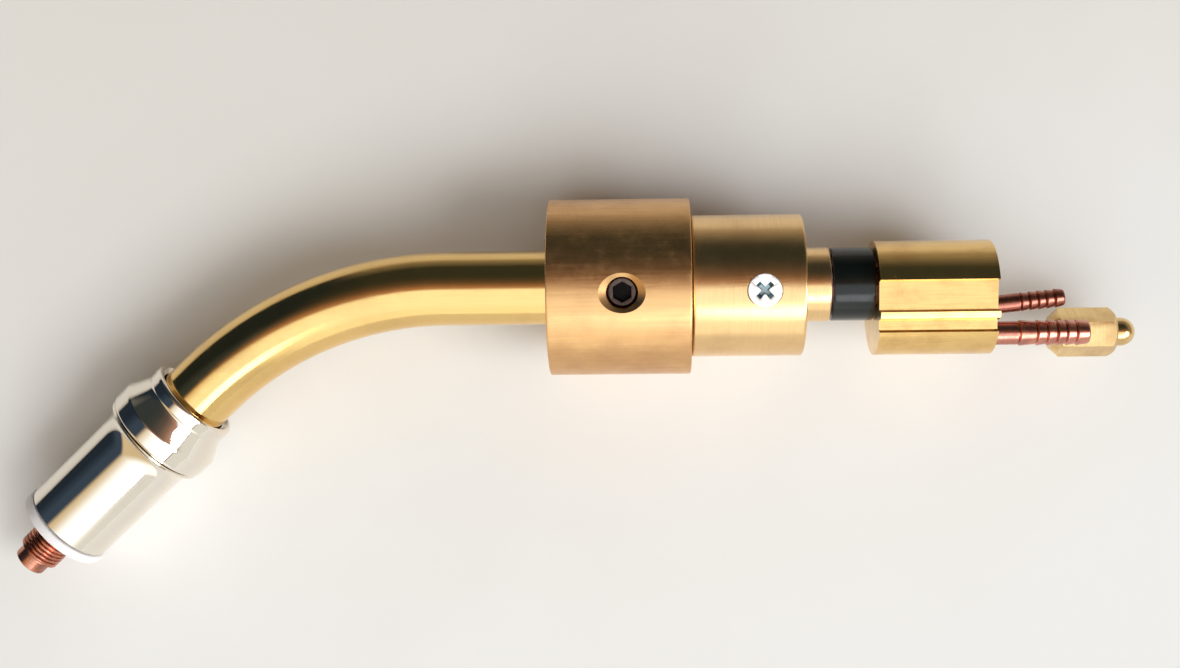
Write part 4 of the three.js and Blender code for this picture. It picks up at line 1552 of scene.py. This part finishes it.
@dataclass
class ReturnLine(Assembly):
    """The return pipe, its union nut and ball nipple; stations start at the block's rear face."""

    block: ConnectorBlock
    y: float = -8.8
    z: float = -4.9
    pipe: float = 2.0
    pipe_wall: float = 0.8
    pipe_sink: float = 5.5
    pipe_end: float = 24.2
    nut_start: float = 15.2
    nut_end: float = 29.6
    nut_flats: float = 9.8
    nut_wall: float = 4.2
    nut_rear: tuple[float, float] = (2.1, 3.8)
    nut_front: tuple[float, float] = (1.2, 4.6)
    nut_bore: float = 4.1
    nut_pitch: float = 1.0
    nut_thread_depth: float = 0.4
    nut_edge: float = 0.12
    pipe_round: float = 0.15
    nipple_start: float = 19.7
    nipple: float = 3.25
    nipple_collar: float = 2.4
    nipple_end: float = 34.6
    nipple_bore: float = 1.1
    nipple_socket: float = 24.5

    def frame(self) -> Matrix:
        """Gives the line's frame in the torch's."""
        return self.block.frame() @ shift(self.block.length, self.y, self.z)

    def return_pipe(self) -> Shape:
        """Draws the copper pipe.

        Returns:
            The pipe.
        """
        inner = self.pipe - self.pipe_wall
        section = stepped((-self.pipe_sink, self.pipe), (self.pipe_end, inner))
        return lathe(section, self.pipe_round, sides=HOLE_SIDES)

    def union_nut(self) -> Shape:
        """Turns and mills the nut, bores it and cuts its thread.

        Returns:
            The nut.
        """
        start, end = self.nut_start, self.nut_end
        corner = self.nut_flats / math.sqrt(3) + 0.02
        rear_length, rear = self.nut_rear
        front_length, front = self.nut_front
        turning = turned([
            (start, 0), (start, rear), (start + rear_length, corner), (end - front_length, corner),
            (end, front), (end, 0),
        ])
        body = prism(hexagon(self.nut_flats), start - OVERCUT, end + OVERCUT)
        worked(body, "INTERSECT", turning)
        wall, hole, tapped = start + self.nut_wall, self.pipe + FIT, self.nut_bore - 0.35
        thread = Thread(wall + 2.5, end - 0.4, tapped, self.nut_pitch, -self.nut_thread_depth)
        bore = turned([
            (start - OVERCUT, 0), (start - OVERCUT, hole), (wall, hole), (wall, tapped),
            *thread.stations(), (end, self.nut_bore - 0.1), (end + OVERCUT, self.nut_bore - 0.1),
            (end + OVERCUT, 0),
        ], HOLE_SIDES, thread)
        worked(body, "DIFFERENCE", bore)
        return broken_edges(body, self.nut_edge, angle_deg=22)

    def ball_nipple(self) -> Shape:
        """Turns the nipple with its collar and domed end.

        Returns:
            The nipple.
        """
        start, outer, bore = self.nipple_start, self.nipple, self.nipple_bore * 0.7
        collar, socket = self.nut_bore - 0.45, self.pipe + FIT
        shoulder = start + self.nipple_collar
        dome = self.nipple_end - outer
        turns = spaced(math.pi / 2, math.asin(bore / outer), 16)
        return turned([
            (start, socket), (start, collar), (shoulder - 0.1, collar), (shoulder, collar - 0.1),
            (shoulder, outer + 0.1), (shoulder + 0.1, outer), (dome - 0.6, outer),
            *arc(outer, turns, dome), (self.nipple_end - 0.5, bore), (self.nipple_socket, bore),
            (self.nipple_socket, socket),
        ], SMALL_SIDES)

    def pieces(self) -> list[Laid]:
        """Makes the pipe, the nut and the nipple.

        Returns:
            The three pieces.
        """
        where, neck, brass = self.frame(), Body.NECK, Slot.POLISHED_BRASS
        return [
            (self.return_pipe(), "return_pipe", where, neck, Slot.COPPER, "copper"),
            (self.union_nut(), "union_nut", where, Body.UNION_NUT, brass, "nut_brass"),
            (self.ball_nipple(), "ball_nose_nipple", where, neck, brass, "nut_brass"),
        ]


# Studio


@dataclass(frozen=True)
class Lamp:
    """A soft lamp that looks at the torch; place and size in metres, power in watts."""

    name: str
    at: Point
    size: Span
    power: float
    colour: Colour

    def hang(self) -> None:
        """Hangs the lamp."""
        light = bpy.data.lights.new(self.name, "AREA")
        light.shape = "RECTANGLE"
        light.size, light.size_y = self.size
        light.energy = self.power
        light.color = self.colour
        lamp = linked(self.name, light)
        lamp.location = self.at
        lamp.rotation_euler = (-Vector(self.at)).to_track_quat("-Z", "Y").to_euler()


@dataclass
class Studio:
    """The pale bench, the light and the camera.

    The bench is pale in front of the torch; to the left and behind, painted shade darkens its
    colour slowly. Each edge says where one part of the bench or the room gives way to the next: the
    bench's in metres, the room's on the X or Y of a direction of length 1.
    """

    floor_half: float = 4.0
    floor_near: Colour = (0.935, 0.94, 0.94)
    # The far and edge colours are painted shade: the bench darkens behind and to the left.
    floor_far_shade: Colour = (0.82, 0.80, 0.765)
    floor_edge_shade: Colour = (0.42, 0.385, 0.34)
    floor_slant: float = 0.35
    far_edge: Span = (-0.10, 0.13)
    left_edge: Span = (-0.13, -0.60)
    back_edge: Span = (0.06, 0.42)
    level: float = 1.48
    window: Colour = (0.94, 0.985, 1.0)
    frame: Colour = (0.20, 0.17, 0.13)
    parapet: Colour = (0.56, 0.55, 0.51)
    apron: Colour = (0.92, 0.92, 0.88)
    apron_edge: Span = (0.26, 0.12)
    wall: Colour = (0.50, 0.385, 0.225)
    wall_edge: Span = (-0.12, -0.56)
    room: Colour = (0.0115, 0.0175, 0.026)
    room_edge: Span = (-0.30, -0.55)
    bright_edge: Span = (-0.05, -0.20)
    shade: Colour = (0.026, 0.031, 0.028)
    fringe: Colour = (0.32, 0.175, 0.115)
    horizon: Colour = (0.22, 0.195, 0.155)
    sill: Colour = (0.14, 0.13, 0.11)
    sill_slope: float = 0.5
    sill_front_edge: Span = (-0.35, -0.15)
    sill_left_edge: Span = (-0.50, -0.35)
    lamps: tuple[Lamp, ...] = (
        Lamp("window_light", (3.8, -4.4, 5.2), (8.4, 3.1), 215.0, (0.95, 0.975, 1.0)),
        Lamp("side_light", (6.2, -3.1, 6.15), (4.5, 4.5), 257.0, (0.96, 0.975, 0.98)),
    )
    lens: float = 44.695
    sensor: float = 36.0
    camera_at: Point = (17.132, -9.345, 353.937)
    camera_turn_deg: Point = (3.5953, 2.0521, -0.4975)

    def floor(self) -> None:
        """Lays the bench, a pale sheet with painted shade that darkens it away from the window."""
        shape = bmesh.new()
        half = self.floor_half
        corners = ((-half, -half), (half, -half), (half, half), (-half, half))
        shape.faces.new([shape.verts.new((x, y, 0)) for x, y in corners])
        floor = to_object(shape, "bench_top")
        sheet = Sheet("bench_paper_shaded")
        sheet.set(Base_Color=self.floor_near, Roughness=0.75, Specular_IOR_Level=0.08)
        clouds = sheet.noise(sheet.place, 14, 3, 0.5)
        where = sheet.parts(sheet.place)
        slant = sheet.math("MULTIPLY", where["X"], self.floor_slant)
        away = sheet.math("SUBTRACT", where["Y"], slant)
        away = sheet.math("ADD", away, sheet.remap(clouds, (0.3, 0.7), (-0.02, 0.02)))
        # The far and edge colours blended in here are painted shade, not the bench's own colour.
        shaded_sheet = sheet.blend(sheet.fade(away, self.far_edge), self.floor_near, self.floor_far_shade)
        left, back = sheet.fade(where["X"], self.left_edge), sheet.fade(where["Y"], self.back_edge)
        sheet.set(Base_Color=sheet.blend(sheet.math("MAXIMUM", left, back), shaded_sheet, self.floor_edge_shade))
        sheet.relief(sheet.noise(sheet.place, 1400, 4, 0.6), 0.2, 0.1)
        floor.data.materials.append(sheet.material)

    def dark_side(self, sky: Wiring, side: bpy.types.NodeOutputs) -> Socket:
        """Paints the dark room on the +Y side, with a warm fringe except at the left.

        Args:
            sky: The world's nodes.
            side: The direction's X, Y and Z.

        Returns:
            The colour.
        """
        behind = sky.remap(side["Y"], (-1, 1), (0, 1))
        behind.node.interpolation_type = "LINEAR"
        warm = []
        for place, share in ((0.49, 1.0), (0.55, 0.5), (0.62, 0.2), (0.72, 0.04), (0.80, 0.0)):
            both = zip(self.fringe, self.shade)
            warm.append((place, tuple(share * f + (1 - share) * s for f, s in both), 1))
        pale = tuple(2.5 * c for c in self.room)
        cool = sky.ramp(behind, (0.49, pale, 1), (0.56, pale, 1), (0.66, self.room, 1))
        warm_side = sky.ramp(behind, *warm)["Color"]
        return sky.blend(sky.fade(side["X"], self.room_edge), warm_side, cool["Color"])

    def bright_side(self, sky: Wiring, side: bpy.types.NodeOutputs) -> Socket:
        """Paints the window on the -Y side, with its frame and apron and the tan wall to the left.

        Args:
            sky: The world's nodes.
            side: The direction's X, Y and Z.

        Returns:
            The colour.
        """
        framed = sky.ramp(
            side["Z"], (0.0, self.parapet, 1), (0.42, self.parapet, 1), (0.44, self.frame, 1),
            (0.465, self.frame, 1), (0.49, self.window, 1))["Color"]
        bare = sky.ramp(
            side["Z"], (0.0, self.apron, 1), (0.40, self.apron, 1), (0.49, self.window, 1))
        window = sky.blend(sky.fade(side["X"], self.apron_edge), framed, bare["Color"])
        return sky.blend(sky.fade(side["X"], self.wall_edge), window, self.wall)

    def world(self) -> None:
        """Lights the room, with a low sill along the horizon."""
        world = bpy.data.worlds.new("room")
        bpy.context.scene.world = world
        world.use_nodes = True
        sky = Wiring(world.node_tree)
        side = sky.parts(sky.node("TexCoord").outputs["Generated"])
        bright = sky.fade(side["Y"], self.bright_edge)
        colour = sky.blend(bright, self.dark_side(sky, side), self.bright_side(sky, side))
        rise = sky.math("MULTIPLY", sky.math("MAXIMUM", side["X"], 0.0), self.sill_slope)
        strip = sky.ramp(
            sky.math("SUBTRACT", side["Z"], rise), (0.0, self.horizon, 1), (0.03, self.horizon, 1),
            (0.07, self.sill, 1), (0.12, self.sill, 1), (0.40, self.sill, 0))
        front = sky.fade(side["Y"], self.sill_front_edge)
        left = sky.fade(side["X"], self.sill_left_edge)
        cover = sky.math("MULTIPLY", strip["Alpha"], sky.math("MULTIPLY", front, left))
        background = sky.nodes["Background"]
        background.inputs["Strength"].default_value = self.level
        sky.fill(background.inputs["Color"], sky.blend(cover, colour, strip["Color"]))

    def camera(self) -> None:
        """Sets the camera where the photograph was taken from."""
        camera = bpy.data.cameras.new("view")
        camera.lens = self.lens
        camera.sensor_width = self.sensor
        holder = linked("view", camera)
        holder.location = Vector(self.camera_at) * MM
        holder.rotation_euler = [math.radians(turn) for turn in self.camera_turn_deg]
        bpy.context.scene.camera = holder

    def build(self) -> None:
        """Makes the floor, the light and the camera."""
        self.floor()
        self.world()
        for lamp in self.lamps:
            lamp.hang()
        self.camera()
        bpy.context.scene.view_settings.view_transform = "Standard"


def main() -> None:
    """Builds the torch and its studio."""
    logging.basicConfig(level=logging.INFO, format="%(name)s: %(message)s")
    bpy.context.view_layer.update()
    Studio().build()
    bench = Bench()
    neck = Neck()
    block = ConnectorBlock()
    for assembly in (neck, NozzleEnd(neck), ClampingSleeve(), RearBody(), block, ReturnLine(block)):
        LOG.info("building %s", type(assembly).__name__)
        assembly.build(bench)
    bpy.context.view_layer.update()
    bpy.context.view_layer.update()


if __name__ == "__main__":
    main()
